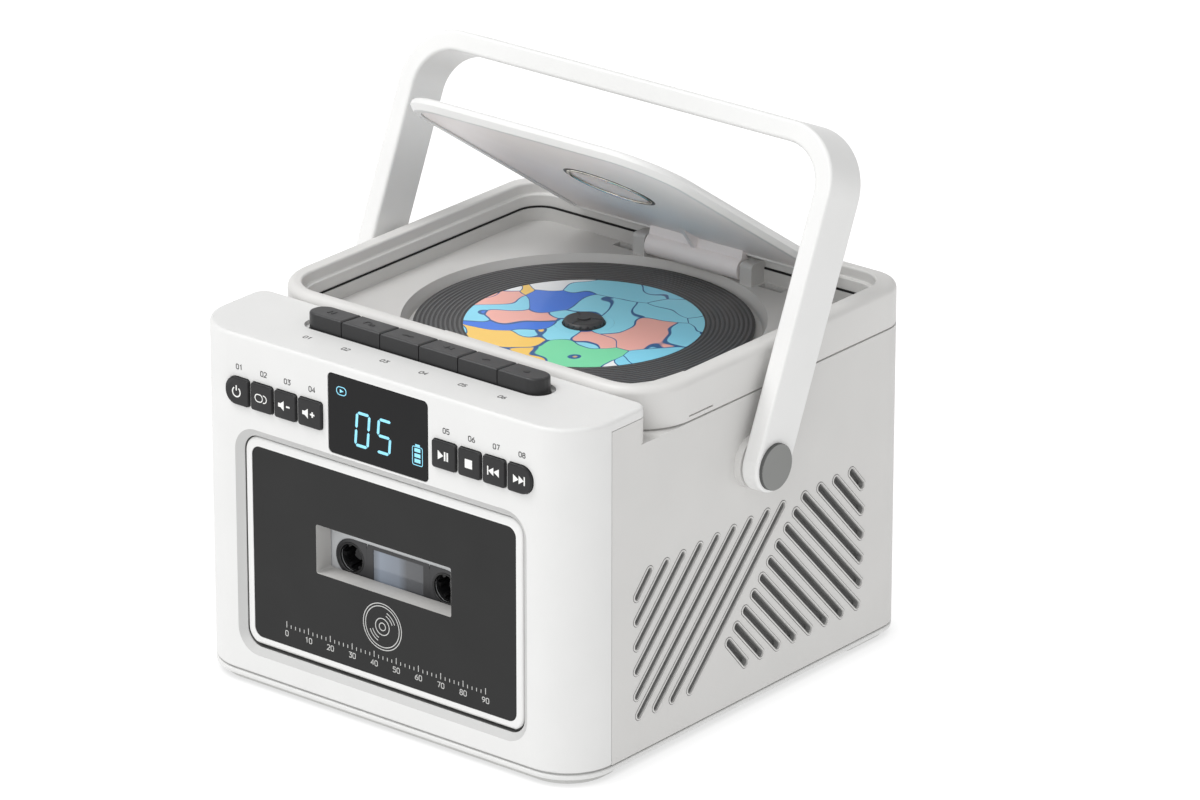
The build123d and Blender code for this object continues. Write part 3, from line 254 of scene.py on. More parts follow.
# painted light: the tops of the keys are lighter than their fronts and sides
M["key"] = shade_by_facing("key_charcoal", srgb(60, 60, 61), srgb(45, 45, 46), axis="Z", lo=0.4, hi=0.97, rough=0.38,
                     vary=0.05, bump=0.14, wear=0.3, spec=0.4)


def glow(name, color, strength):
    """Lit segment behind a tinted lens: its own light, a little uneven."""
    m = plastic(name, color, rough=0.4, vary=0.08, mottle=700)
    nt = m.node_tree
    bs = nt.nodes["Principled BSDF"]
    nt.links.new(bs.inputs["Base Color"].links[0].from_socket, bs.inputs["Emission Color"])
    bs.inputs["Emission Strength"].default_value = strength
    return m


M["segment"] = glow("segment_cyan", srgb(132, 203, 226), 0.36)


LABEL_AT = (1.42, 0.93, 0.0)     # which stretch of the endless pattern the label shows


def patchwork(name):
    """Printed label: soft irregular colour fields with thin blue outlines."""
    m = plastic(name, srgb(120, 205, 232), rough=0.24, vary=0.01, bump=0.01, coat=0.25)
    nt = m.node_tree
    bs = nt.nodes["Principled BSDF"]
    tc = node(nt, "ShaderNodeTexCoord")
    warp = node(nt, "ShaderNodeTexNoise")
    warp.inputs["Scale"].default_value = 38.0
    warp.inputs["Detail"].default_value = 1.0
    nt.links.new(tc.outputs["Object"], warp.inputs["Vector"])
    off = node(nt, "ShaderNodeVectorMath", operation="SUBTRACT")
    nt.links.new(warp.outputs["Color"], off.inputs[0])
    off.inputs[1].default_value = (0.5, 0.5, 0.5)
    sc = node(nt, "ShaderNodeVectorMath", operation="SCALE")
    nt.links.new(off.outputs[0], sc.inputs[0])
    sc.inputs["Scale"].default_value = 0.05
    add = node(nt, "ShaderNodeVectorMath", operation="ADD")
    nt.links.new(tc.outputs["Object"], add.inputs[0])
    nt.links.new(sc.outputs[0], add.inputs[1])
    flat = node(nt, "ShaderNodeVectorMath", operation="MULTIPLY")
    slip = node(nt, "ShaderNodeVectorMath", operation="ADD")
    nt.links.new(add.outputs[0], slip.inputs[0])
    slip.inputs[1].default_value = LABEL_AT
    nt.links.new(slip.outputs[0], flat.inputs[0])
    flat.inputs[1].default_value = (1.0, 1.0, 0.0)
    cell = node(nt, "ShaderNodeTexVoronoi", feature="F1")
    edge = node(nt, "ShaderNodeTexVoronoi", feature="DISTANCE_TO_EDGE")
    for v in (cell, edge):
        v.inputs["Scale"].default_value = 44.0
        nt.links.new(flat.outputs[0], v.inputs["Vector"])
    sep = node(nt, "ShaderNodeSeparateColor")
    nt.links.new(cell.outputs["Color"], sep.inputs[0])
    ramp = node(nt, "ShaderNodeValToRGB")
    cr = ramp.color_ramp
    cr.interpolation = "CONSTANT"
    stops = [(0.0, srgb(146, 228, 250)), (0.28, srgb(124, 226, 172)), (0.38, srgb(136, 222, 249)),
             (0.54, srgb(54, 122, 232)), (0.62, srgb(250, 182, 170)), (0.74, srgb(254, 208, 100)),
             (0.84, srgb(248, 250, 251)), (0.90, srgb(140, 224, 250))]
    cr.elements[0].position, cr.elements[0].color = stops[0]
    cr.elements[1].position, cr.elements[1].color = stops[1]
    for p, c in stops[2:]:
        cr.elements.new(p).color = c
    nt.links.new(sep.outputs[0], ramp.inputs["Fac"])
    line = node(nt, "ShaderNodeMapRange")
    line.inputs["From Min"].default_value = 0.010
    line.inputs["From Max"].default_value = 0.018
    nt.links.new(edge.outputs["Distance"], line.inputs["Value"])
    mx = node(nt, "ShaderNodeMix", data_type="RGBA")
    nt.links.new(line.outputs["Result"], mx.inputs[0])
    mx.inputs[6].default_value = srgb(34, 92, 150)
    nt.links.new(ramp.outputs["Color"], mx.inputs[7])
    # a few small spots scattered over the fields
    spot = node(nt, "ShaderNodeTexVoronoi", feature="F1")
    spot.inputs["Scale"].default_value = 62.0
    spot.inputs["Randomness"].default_value = 0.7
    plain = node(nt, "ShaderNodeVectorMath", operation="MULTIPLY")
    nt.links.new(tc.outputs["Object"], plain.inputs[0])
    plain.inputs[1].default_value = (1.0, 1.0, 0.0)
    nt.links.new(plain.outputs[0], spot.inputs["Vector"])
    pick = node(nt, "ShaderNodeSeparateColor")
    nt.links.new(spot.outputs["Color"], pick.inputs[0])
    small = node(nt, "ShaderNodeMath", operation="LESS_THAN")
    nt.links.new(spot.outputs["Distance"], small.inputs[0])
    small.inputs[1].default_value = 0.17
    some = node(nt, "ShaderNodeMath", operation="GREATER_THAN")
    nt.links.new(pick.outputs[1], some.inputs[0])
    some.inputs[1].default_value = 0.72
    both = node(nt, "ShaderNodeMath", operation="MULTIPLY")
    nt.links.new(small.outputs[0], both.inputs[0])
    nt.links.new(some.outputs[0], both.inputs[1])
    dots = node(nt, "ShaderNodeMix", data_type="RGBA")
    nt.links.new(both.outputs[0], dots.inputs[0])
    nt.links.new(mx.outputs[2], dots.inputs[6])
    tone = node(nt, "ShaderNodeValToRGB")
    tone.color_ramp.interpolation = "CONSTANT"
    tone.color_ramp.elements[0].color = srgb(66, 138, 230)
    tone.color_ramp.elements[1].position = 0.5
    tone.color_ramp.elements[1].color = srgb(250, 190, 176)
    nt.links.new(pick.outputs[0], tone.inputs["Fac"])
    nt.links.new(tone.outputs["Color"], dots.inputs[7])
    nt.links.new(dots.outputs[2], bs.inputs["Base Color"])
    return m


M["label"] = patchwork("disc_label")


def pane(name):
    """Smoky clear window of the cassette, with a paler band between the reels."""
    m = plastic(name, srgb(120, 128, 138), rough=0.12, vary=0.04, bump=0.01, coat=0.6)
    nt = m.node_tree
    bs = nt.nodes["Principled BSDF"]
    tc = node(nt, "ShaderNodeTexCoord")
    sep = node(nt, "ShaderNodeSeparateXYZ")
    nt.links.new(tc.outputs["Object"], sep.inputs[0])
    mr = node(nt, "ShaderNodeMapRange")
    mr.inputs["From Min"].default_value = -0.012
    mr.inputs["From Max"].default_value = 0.012
    nt.links.new(sep.outputs["X"], mr.inputs["Value"])
    ramp = node(nt, "ShaderNodeValToRGB")
    cr = ramp.color_ramp
    cr.elements[0].position, cr.elements[0].color = 0.0, srgb(96, 100, 106)
    cr.elements[1].position, cr.elements[1].color = 1.0, srgb(74, 76, 80)
    cr.elements.new(0.16).color = srgb(140, 150, 164)
    cr.elements.new(0.5).color = srgb(128, 136, 148)
    cr.elements.new(0.66).color = srgb(86, 88, 92)
    nt.links.new(mr.outputs["Result"], ramp.inputs["Fac"])
    nt.links.new(ramp.outputs["Color"], bs.inputs["Base Color"])
    return m


M["pane"] = pane("cassette_pane")

ASSIGN = {
    "front_housing": "white", "cabinet_shell": "cab", "base_plate": "base", "rubber_feet": "rubber",
    "case_screws": "steel", "deck_rim": "rim", "disc_tray": "deck", "lid_hinge_pin": "steel",
    "handle_pins": "steel", "handle_washers": "cab", "display_window": "lens", "front_board": "board",
    "main_board": "board", "key_guide": "dark", "tape_chassis": "steel", "tape_motor": "motor",
    "drive_belt": "belt", "disc_chassis": "dark", "spindle_motor": "motor", "guide_rails": "steel",
    "speaker_frames": "steel", "speaker_cones": "cone", "grille_cloths": "cloth", "battery_pack": "cell",
    "power_socket": "dark", "lid_cover": "lid", "lid_liner": "liner", "hub_ring": "liner",
    "handle_bow": "handle", "handle_caps": "capgrey", "cd_disc": "ridge", "turntable": "dark",
    "pickup_sled": "dark", "sled_gear": "nylon", "door_frame": "frame", "door_panel": "door",
    "cassette_holder": "dark", "cassette_shell": "cassette", "reel_hub_left": "hub",
    "reel_hub_right": "hub", "supply_spindle": "dark", "takeup_spindle": "dark",
    "capstan_flywheel": "steel", "motor_pulley": "steel", "head_plate": "steel", "pinch_roller": "belt",
}


for name, obj in NODES.items():
    key = ASSIGN.get(name, "button" if name.startswith("button") else "key")
    for i in range(len(obj.data.materials)):
        obj.data.materials[i] = M[key]
    if not obj.data.materials:
        obj.data.materials.append(M[key])


# ------------------------------------------------------------- mesh building
class Piece:
    """Collects closed solids drawn in a plane and raised from it. F(u, v, h) gives a point of
    the plane (u, v) at height h above it."""

    def __init__(self, F):
        self.F, self.v, self.f = F, [], []

    def prism(self, pts, h0, h1):
        n, b = len(pts), len(self.v)
        self.v += [self.F(x, y, h0) for x, y in pts] + [self.F(x, y, h1) for x, y in pts]
        self.f.append(list(range(b, b + n))[::-1])
        self.f.append(list(range(b + n, b + 2 * n)))
        for i in range(n):
            j = (i + 1) % n
            self.f.append([b + i, b + j, b + n + j, b + n + i])

    def band(self, path, profile, closed=False):
        """Sweeps a profile of (offset to the left, height) along a path with mitred corners."""
        n, m, b = len(path), len(profile), len(self.v)
        P = [Vector(p) for p in path]
        for i in range(n):
            a = P[i - 1] if (i or closed) else None
            c = P[(i + 1) % n] if (i < n - 1 or closed) else None
            d1 = (P[i] - a).normalized() if a is not None else None
            d2 = (c - P[i]).normalized() if c is not None else None
            d1 = d1 if d1 is not None else d2
            d2 = d2 if d2 is not None else d1
            n1, n2 = Vector((-d1.y, d1.x)), Vector((-d2.y, d2.x))
            k = n1 + n2
            k = k / max(0.3, k.length_squared / 2) if k.length > 1e-6 else n1
            for o, h in profile:
                q = P[i] + k * o
                self.v.append(self.F(q.x, q.y, h))
        for i in range(n if closed else n - 1):
            j = (i + 1) % n
            for s in range(m):
                t = (s + 1) % m
                self.f.append([b + i * m + s, b + j * m + s, b + j * m + t, b + i * m + t])
        if not closed:
            self.f.append([b + s for s in range(m)][::-1])
            self.f.append([b + (n - 1) * m + s for s in range(m)])

    def stroke(self, path, w, h0, h1, closed=False):
        self.band(path, [(-w / 2, h0), (w / 2, h0), (w / 2, h1), (-w / 2, h1)], closed)

    def make(self, name, mat, body, smooth=False):
        me = bpy.data.meshes.new(name)
        me.from_pydata([tuple(p) for p in self.v], [], self.f)
        bmx = bmesh.new()
        bmx.from_mesh(me)
        bmesh.ops.recalc_face_normals(bmx, faces=bmx.faces)
        if smooth:
            for fc in bmx.faces:
                fc.smooth = True
        bmx.to_mesh(me)
        bmx.free()
        me.update()
        ob = bpy.data.objects.new(name, me)
        bpy.context.scene.collection.objects.link(ob)
        me.materials.append(M[mat])
        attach(ob, body)
        return ob


def arc(cx, cy, r, a0, a1, n):
    return [(cx + r * math.cos(math.radians(a0 + (a1 - a0) * i / n)),
             cy + r * math.sin(math.radians(a0 + (a1 - a0) * i / n))) for i in range(n + 1)]


def circle(cx, cy, r, n=40):
    return arc(cx, cy, r, 0, 360, n)[:-1]


def rounded(x0, x1, y0, y1, r, n=5):
    return (arc(x1 - r, y0 + r, r, -90, 0, n) + arc(x1 - r, y1 - r, r, 0, 90, n)
            + arc(x0 + r, y1 - r, r, 90, 180, n) + arc(x0 + r, y0 + r, r, 180, 270, n))


def move(pts, dx, dy, k=1.0):
    return [(x * k + dx, y * k + dy) for x, y in pts]


DIGITS = {
    "0": [([(0, .25), (0, 1.35), (.25, 1.6), (.75, 1.6), (1, 1.35), (1, .25), (.75, 0), (.25, 0)], True)],
    "1": [([(.2, 1.25), (.6, 1.6), (.6, 0)], False)],
    "2": [([(0, 1.3), (.25, 1.6), (.75, 1.6), (1, 1.35), (1, 1.0), (0, 0), (1, 0)], False)],
    "3": [([(0, 1.6), (1, 1.6), (.45, .95), (.75, .95), (1, .7), (1, .25), (.75, 0), (.25, 0), (0, .2)], False)],
    "4": [([(.8, 0), (.8, 1.6), (0, .5), (1.05, .5)], False)],
    "5": [([(1, 1.6), (.1, 1.6), (.05, .9), (.7, .95), (1, .7), (1, .25), (.75, 0), (.2, 0), (0, .2)], False)],
    "6": [([(.85, 1.6), (.3, 1.2), (0, .6), (0, .25), (.25, 0), (.75, 0), (1, .25), (1, .6), (.75, .85), (.25, .85)], False)],
    "7": [([(0, 1.6), (1, 1.6), (.4, 0)], False)],
    "8": [([(.25, .85), (0, .6), (0, .25), (.25, 0), (.75, 0), (1, .25), (1, .6), (.75, .85)], True),
          ([(.25, .95), (.08, 1.12), (.08, 1.38), (.28, 1.6), (.72, 1.6), (.92, 1.38), (.92, 1.12), (.75, .95)], False)],
    "9": [([(.15, 0), (.7, .4), (1, 1.0), (1, 1.35), (.75, 1.6), (.25, 1.6), (0, 1.35), (0, 1.0), (.25, .75), (.75, .75)], False)],
}


def number(piece, text, cx, cy, h, w, h0, h1):
    """Plain figures h high, centred on (cx, cy)."""
    k = h / 1.6
    pitch = 1.45 * k
    x = cx - (pitch * (len(text) - 1) + k) / 2
    for ch in text:
        for pts, closed in DIGITS[ch]:
            piece.stroke(move(pts, x, cy - h / 2, k), w, h0, h1, closed)
        x += pitch


def front_plane(y):
    return lambda u, v, h: V(u, y - h, v)


# ---------------------------------------------------------- marks on buttons
BX = {"button_power": -63.2, "button_repeat": -52.0, "button_volume_down": -41.2,
      "button_volume_up": -30.0, "button_play_pause": 30.0, "button_stop": 41.2,
      "button_previous": 52.0, "button_next": 63.2}
BZ = 110.3
H0, H1 = -0.02, 0.07


def tri(x0, x1, z0, z1):
    """Triangle with its point at x1."""
    return [(x0, z0), (x1, (z0 + z1) / 2), (x0, z1)] if x1 > x0 else [(x0, z0), (x0, z1), (x1, (z0 + z1) / 2)]


def speaker(p, cx):
    p.prism([(cx - 2.6, BZ - 0.7), (cx - 1.5, BZ - 0.7), (cx - 0.1, BZ - 1.8), (cx - 0.1, BZ + 1.8),
             (cx - 1.5, BZ + 0.7), (cx - 2.6, BZ + 0.7)], H0, H1)


for nm, cx in BX.items():
    p = Piece(front_plane(-1.2))
    if nm == "button_power":
        p.stroke(arc(cx, BZ - 0.2, 1.75, 125, 415, 30), 0.46, H0, H1)
        p.stroke([(cx, BZ + 0.3), (cx, BZ + 2.2)], 0.5, H0, H1)
    elif nm == "button_repeat":
        p.stroke(rounded(cx - 2.6, cx + 0.75, BZ - 1.35, BZ + 1.35, 1.3, 6), 0.34, H0, H1, True)
        p.stroke(arc(cx + 1.25, BZ, 1.35, -100, 100, 14), 0.34, H0, H1)
    elif nm == "button_volume_down":
        speaker(p, cx - 0.2)
        p.stroke([(cx + 0.8, BZ), (cx + 2.4, BZ)], 0.6, H0, H1)
    elif nm == "button_volume_up":
        speaker(p, cx - 0.4)
        p.prism([(cx + 0.5, BZ - .3), (cx + 1.2, BZ - .3), (cx + 1.2, BZ - 1.0), (cx + 1.8, BZ - 1.0),
                 (cx + 1.8, BZ - .3), (cx + 2.5, BZ - .3), (cx + 2.5, BZ + .3), (cx + 1.8, BZ + .3),
                 (cx + 1.8, BZ + 1.0), (cx + 1.2, BZ + 1.0), (cx + 1.2, BZ + .3), (cx + 0.5, BZ + .3)], H0, H1)
    elif nm == "button_play_pause":
        p.prism(tri(cx - 2.3, cx + 0.1, BZ - 1.7, BZ + 1.7), H0, H1)
        for dx in (0.75, 1.9):
            p.prism([(cx + dx - .33, BZ - 1.6), (cx + dx + .33, BZ - 1.6), (cx + dx + .33, BZ + 1.6), (cx + dx - .33, BZ + 1.6)], H0, H1)
    elif nm == "button_stop":
        p.prism(rounded(cx - 1.6, cx + 1.6, BZ - 1.6, BZ + 1.6, 0.15, 2), H0, H1)
    else:
        s = 1 if nm == "button_next" else -1
        p.prism(tri(cx - s * 2.5, cx - s * 0.15, BZ - 1.5, BZ + 1.5), H0, H1)
        p.prism(tri(cx - s * 0.1, cx + s * 2.1, BZ - 1.5, BZ + 1.5), H0, H1)
        q = sorted((cx + s * 2.1, cx + s * 2.6))
        p.prism([(q[0], BZ - 1.6), (q[1], BZ - 1.6), (q[1], BZ + 1.6), (q[0], BZ + 1.6)], H0, H1)
    p.make(nm + "_mark", "mark", nm)

# plain figures above the buttons
p = Piece(front_plane(0.0))
for i, (nm, cx) in enumerate(BX.items()):
    number(p, "0" + str(i + 1), cx + 0.4, 119.0, 1.75, 0.37, -0.02, 0.03)
p.make("button_figures", "markgrey", "cabinet")

# ------------------------------------------------------------- display figures
p = Piece(front_plane(0.05))
SLANT = 0.085


def seg7(cx, z0, w, h, on, t=1.05, g=0.22):
    """Seven-segment figure; on lists the lit bars a to g."""
    zm, z1 = z0 + h / 2, z0 + h
    x0, x1 = cx - w / 2 + t / 2, cx + w / 2 - t / 2
    rows = {"a": z1 - t / 2, "g": zm, "d": z0 + t / 2}
    skew = lambda pts: [(x + SLANT * (z - z0), z) for x, z in pts]
    for k, z in rows.items():
        if k in on:
            p.prism(skew([(x0 + g, z), (x0 + g + t / 2, z - t / 2), (x1 - g - t / 2, z - t / 2), (x1 - g, z),
                          (x1 - g - t / 2, z + t / 2), (x0 + g + t / 2, z + t / 2)]), 0.0, 0.06)
    for k, x, za, zb in (("f", x0, zm, z1 - t / 2), ("b", x1, zm, z1 - t / 2),
                         ("e", x0, z0 + t / 2, zm), ("c", x1, z0 + t / 2, zm)):
        if k in on:
            p.prism(skew([(x, za + g), (x + t / 2, za + g + t / 2), (x + t / 2, zb - g - t / 2), (x, zb - g),
                          (x - t / 2, zb - g - t / 2), (x - t / 2, za + g + t / 2)]), 0.0, 0.06)


seg7(-7.5, 103.3, 6.5, 13.0, "abcdef")
seg7(2.2, 103.3, 6.5, 13.0, "afgcd")
# battery gauge and a small loop sign
p.stroke(rounded(15.4, 19.8, 103.3, 110.0, 0.6, 3), 0.26, 0.0, 0.06, True)
p.prism([(16.7, 110.2), (18.7, 110.2), (18.7, 110.9), (16.7, 110.9)], 0.0, 0.06)
for z in (104.2, 106.15, 108.1):
    p.prism([(16.3, z), (18.9, z), (18.9, z + 1.35), (16.3, z + 1.35)], 0.0, 0.06)
p.stroke(rounded(-18.4, -14.1, 120.3, 123.2, 1.4, 6), 0.3, 0.0, 0.06, True)
p.prism([(-16.9, 121.1), (-15.2, 121.75), (-16.9, 122.4)], 0.0, 0.06)
p.make("display_figures", "segment", "cabinet")

# --------------------------------------------------------------- key signs
KX0, KP = -51.4, 17.4
KEYS = ["key_pause", "key_stop_eject", "key_fast_forward", "key_rewind", "key_play", "key_record"]


def key_plane(u, v, h):
    return V(u, v, 136.5 - (v - 20.55) * 0.8 / 10.75 + h)


for i, nm in enumerate(KEYS):
    cx, cy = KX0 + KP * (i + 0.5) - 0.3, 26.2
    p = Piece(key_plane)
    A, B = -0.05, 0.14
    if nm == "key_pause":
        for dx in (-0.9, 0.9):
            p.prism([(cx + dx - .35, cy - 1.3), (cx + dx + .35, cy - 1.3), (cx + dx + .35, cy + 1.3), (cx + dx - .35, cy + 1.3)], A, B)
    elif nm == "key_stop_eject":
        p.stroke([(cx - 2.2, cy - 1.0), (cx - 2.2, cy + 1.1), (cx - 0.2, cy + 1.1)], 0.4, A, B)
        p.prism([(cx + 0.2, cy - 0.4), (cx + 2.4, cy - 0.4), (cx + 1.3, cy + 1.2)], A, B)
        p.prism([(cx + 0.2, cy - 1.3), (cx + 2.4, cy - 1.3), (cx + 2.4, cy - 0.8), (cx + 0.2, cy - 0.8)], A, B)
    elif nm in ("key_fast_forward", "key_rewind"):
        s = 1 if nm == "key_fast_forward" else -1
        p.prism(tri(cx - s * 2.1, cx, cy - 1.1, cy + 1.1), A, B)
        p.prism(tri(cx + s * 0.1, cx + s * 2.2, cy - 1.1, cy + 1.1), A, B)
    elif nm == "key_play":
        p.prism(tri(cx - 1.3, cx + 1.3, cy - 1.3, cy + 1.3), A, B)
    else:
        p.prism(circle(cx, cy, 1.25, 24), A, B)
    p.make(nm + "_sign", "keymark", nm)

p = Piece(lambda u, v, h: V(u, v, 130.9 + h))
for i in range(6):
    number(p, "0" + str(i + 1), KX0 + KP * (i + 0.5), 12.9, 1.9, 0.4, -0.02, 0.03)
p.make("key_figures", "markgrey", "cabinet")

# ------------------------------------------------------------------ door prints
p = Piece(front_plane(1.9))
for k in range(46):
    x = -44.5 + 2.0 * k
    tall = 2.3 if k % 5 == 0 else 1.3
    p.prism([(x - 0.14, 25.9), (x + 0.14, 25.9), (x + 0.14, 25.9 + tall), (x - 0.14, 25.9 + tall)], -0.02, 0.04)
for k in range(10):
    number(p, str(k * 10), -44.5 + 10.0 * k, 23.7, 1.9, 0.28, -0.02, 0.04)
# outline sign of a disc
for r in (8.6, 7.6, 3.1, 1.4):
    p.stroke(circle(-0.6, 38.2, r, 56), 0.32, -0.02, 0.04, True)
for a in (20, 200):
    p.stroke(arc(-0.6, 38.2, 5.9, a, a + 50, 12), 0.3, -0.02, 0.04)
    p.stroke(arc(-0.6, 38.2, 4.7, a, a + 50, 12), 0.3, -0.02, 0.04)
p.make("door_scale", "doormark", "door")

# ------------------------------------------------------------ cassette's face
p = Piece(front_plane(10.05))
# dark inlay between and round the hubs, drawn as a frame round three openings
inlay = []
zc = 55.7


def ring_between(outer, inner, h0, h1):
    n, b = len(outer), len(p.v)
    for loop, h in ((outer, h0), (inner, h0), (inner, h1), (outer, h1)):
        p.v += [p.F(x, y, h) for x, y in loop]
    for i in range(n):
        j = (i + 1) % n
        for s in range(4):
            t = (s + 1) % 4
            p.f.append([b + s * n + i, b + s * n + j, b + t * n + j, b + t * n + i])


def boxed(x0, x1, z0, z1, n, cap=0):
    """Outline with 4n points, starting at the right, for pairing with a circle. cap rounds an end."""
    pts = []
    cx, cz = (x0 + x1) / 2, (z0 + z1) / 2
    for i in range(4 * n):
        a = 2 * math.pi * i / (4 * n)
        dx, dz = math.cos(a), math.sin(a)
        t = min((x1 - x0) / 2 / max(1e-9, abs(dx)), (z1 - z0) / 2 / max(1e-9, abs(dz)))
        pts.append((cx + dx * t, cz + dz * t))
    if cap:
        r = (z1 - z0) / 2
        out = []
        for (x, z), i in zip(pts, range(4 * n)):
            a = 2 * math.pi * i / (4 * n)
            if cap * math.cos(a) > 0:
                out.append((cx + r * math.cos(a), cz + r * math.sin(a)))
            else:
                out.append((x, z))
        pts = out
    return pts


for s in (-1, 1):
    cx = s * 21.25
    ring_between(boxed(cx - 7.0, cx + 7.0, zc - 7.0, zc + 7.0, 10, cap=s), circle(cx, zc, 5.6, 40), -0.02, 0.28)
ring_between(boxed(-14.3, 14.3, zc - 7.0, zc + 7.0, 10), boxed(-11.3, 11.3, zc - 5.8, zc + 5.8, 10), -0.02, 0.28)
p.make("cassette_inlay", "inlay", "door")
p = Piece(front_plane(10.05))
for s in (-1, 1):
    p.band(circle(s * 21.25, zc, 5.5, 48), [(-0.5, -0.4), (0.5, -0.4), (0.45, 0.38), (0.1, 0.5), (-0.3, 0.4)], True)
p.make("cassette_collars", "hub", "door", smooth=True)
p = Piece(front_plane(10.05))
p.prism(rounded(-11.25, 11.25, zc - 5.75, zc + 5.75, 0.4, 3), -0.9, 0.12)
p.make("cassette_window_pane", "pane", "door")

# ------------------------------------------------------------------------ disc
CDY = 110.2
TOPZ = 117.6


def lathe(name, profile, mat, body, cx=0.0, cy=CDY, n=128, T=None, smooth=True):
    """Turns a closed profile of (radius, height) round the upright axis through (cx, cy)."""
    q = Piece(lambda u, v, h: (T(V(u, v, h)) if T else V(u, v, h)))
    m = len(profile)
    for i in range(n):
        a = 2 * math.pi * i / n
        for r, z in profile:
            q.v.append(q.F(cx + r * math.cos(a), cy + r * math.sin(a), z))
    for i in range(n):
        j = (i + 1) % n
        for s in range(m):
            t = (s + 1) % m
            q.f.append([i * m + s, j * m + s, j * m + t, i * m + t])
    return q.make(name, mat, body, smooth=smooth)


# the ridges are raised rings on the disc; their lighter grey than the black disc is a painted highlight
p = Piece(lambda u, v, h: V(u, v, h))
for k in range(10):
    r0 = 43.0 + 1.66 * k
    p.band(circle(0, CDY, r0 + 0.45, 160), [(-0.45, TOPZ - 0.03), (-0.32, TOPZ + 0.16), (0.32, TOPZ + 0.16),
                                            (0.45, TOPZ - 0.03)], True)
p.make("disc_ridges", "groove", "disc")
lathe("disc_print", [(10.6, TOPZ - 0.03), (42.25, TOPZ - 0.03), (42.25, TOPZ + 0.06), (10.6, TOPZ + 0.06)], "label", "disc", smooth=False)
lathe("disc_print_inner", [(7.75, TOPZ - 0.03), (10.55, TOPZ - 0.03), (10.55, TOPZ + 0.06), (7.75, TOPZ + 0.06)], "label", "disc", smooth=False)
# three slots of the hub
p = Piece(lambda u, v, h: V(u, v, h))
for k in range(3):
    a = math.radians(30 + 120 * k)
    c, s_ = math.cos(a), math.sin(a)
    pts = [(2.9, -0.35), (6.4, -0.35), (6.4, 0.35), (2.9, 0.35)]
    p.prism([(x * c - y * s_, CDY + x * s_ + y * c) for x, y in pts], 119.3, 119.52)
p.make("hub_fingers", "keymark", "disc")

# ------------------------------------------------------------------- lid inside
HY, HZ, OPENA = 173.8, 124.1, math.radians(34.0)
PIV = V(0, HY, HZ)
TURN = Matrix.Translation(PIV) @ Matrix.Rotation(-OPENA, 4, "X") @ Matrix.Translation(-PIV)


def lid(v):
    return TURN @ v


# painted shade: the groove round the clamp is coloured near-black
lathe("hub_clamp_groove", [(16.0, 129.78), (17.15, 129.78), (17.15, 129.56), (16.6, 129.42), (16.0, 129.6)], "keymark", "lid", n=96, T=lid)
lathe("hub_clamp_ring", [(14.7, 129.75)] + [(15.35 + 0.62 * math.cos(math.radians(a)), 129.5 - 0.42 * math.sin(math.radians(a)))
      for a in range(180, -1, -20)][::1] + [(16.0, 129.75)], "bright", "lid", n=96, T=lid)
q = [(0.02, 130.78)] + [(0.02, 130.35)] + [(rr, 130.35 - 0.55 * (rr / 14.6) ** 2) for rr in (3, 6, 9, 11, 13, 14.5)] + [(14.5, 130.78)]
lathe("hub_clamp_dish", q, "dish", "lid", n=96, T=lid)

# --------------------------------------------------------------- grille beads
G_UP = [((32.2, 62.2), (40.0, 70.7)), ((32.2, 53.2), (49.0, 70.7)), ((32.2, 44.0), (57.9, 70.7)),
        ((32.2, 34.9), (67.2, 70.8)), ((32.3, 25.6), (76.5, 70.9)), ((33.4, 18.2), (85.7, 71.0)),
        ((42.5, 17.9), (95.0, 71.0)), ((51.6, 17.9), (104.4, 71.0)), ((61.2, 17.9), (113.2, 71.0))]
G_DN = [((151.2, 71.2), (158.4, 63.0)), ((142.2, 71.1), (158.4, 53.6)), ((133.2, 71.1), (158.4, 44.2)),
        ((124.3, 70.7), (158.1, 35.3)), ((119.4, 66.3), (157.9, 26.1)), ((114.6, 62.0), (156.6, 18.0)),
        ((109.7, 57.4), (147.4, 17.8)), ((105.2, 52.6), (138.3, 18.0)), ((100.7, 47.9), (129.2, 17.8)),
        ((96.2, 43.2), (120.2, 17.9)), ((91.4, 38.7), (111.0, 17.9)), ((86.7, 34.2), (101.7, 18.0)),
        ((82.4, 29.6), (92.9, 17.6))]
SLOT_W = 2.7
for side, tag in ((1, "right"), (-1, "left")):
    p = Piece(lambda u, v, h, k=side: V(k * (86.6 + h), u, v))
    outer = []
    for a, b in G_UP + G_DN:
        a, b = Vector(a), Vector(b)
        d = b - a
        L = d.length + 1.0
        ang = math.degrees(math.atan2(d.y, d.x))
        mid = (a + b) / 2
        half = (L - SLOT_W) / 2
        e = d.normalized() * half
        c1, c2 = mid + e, mid - e
        rp = SLOT_W / 2
        path = arc(c1.x, c1.y, rp, ang - 90, ang + 90, 8) + arc(c2.x, c2.y, rp, ang + 90, ang + 270, 8)
        p.band(path, [(-0.02, -0.5), (-0.02, 0.16), (-0.14, 0.3), (-0.42, 0.3), (-0.56, 0.16), (-0.56, -0.1), (-0.3, -0.2)], True)
        outer.append(path)
    p.make("grille_beads_" + tag, "cab", "cabinet")
    # painted shade: a thin grey ring round the outside of each slot's bead
    p = Piece(p.F)
    for path in outer:
        p.band(path, [(-0.56, -0.04), (-0.56, 0.02), (-0.78, 0.02), (-0.78, -0.04)], True)
    p.make("grille_painted_shade_rings_" + tag, "seam", "cabinet")
    # painted shade: the slot walls are lined in mid grey, darker than the side round them
    p = Piece(p.F)
    for path in outer:
        p.band(path, [(-0.1, -2.55), (0.08, -2.55), (0.08, -0.52), (-0.1, -0.52)], True)
    p.make("grille_slot_painted_shade_" + tag, "slot", "cabinet")

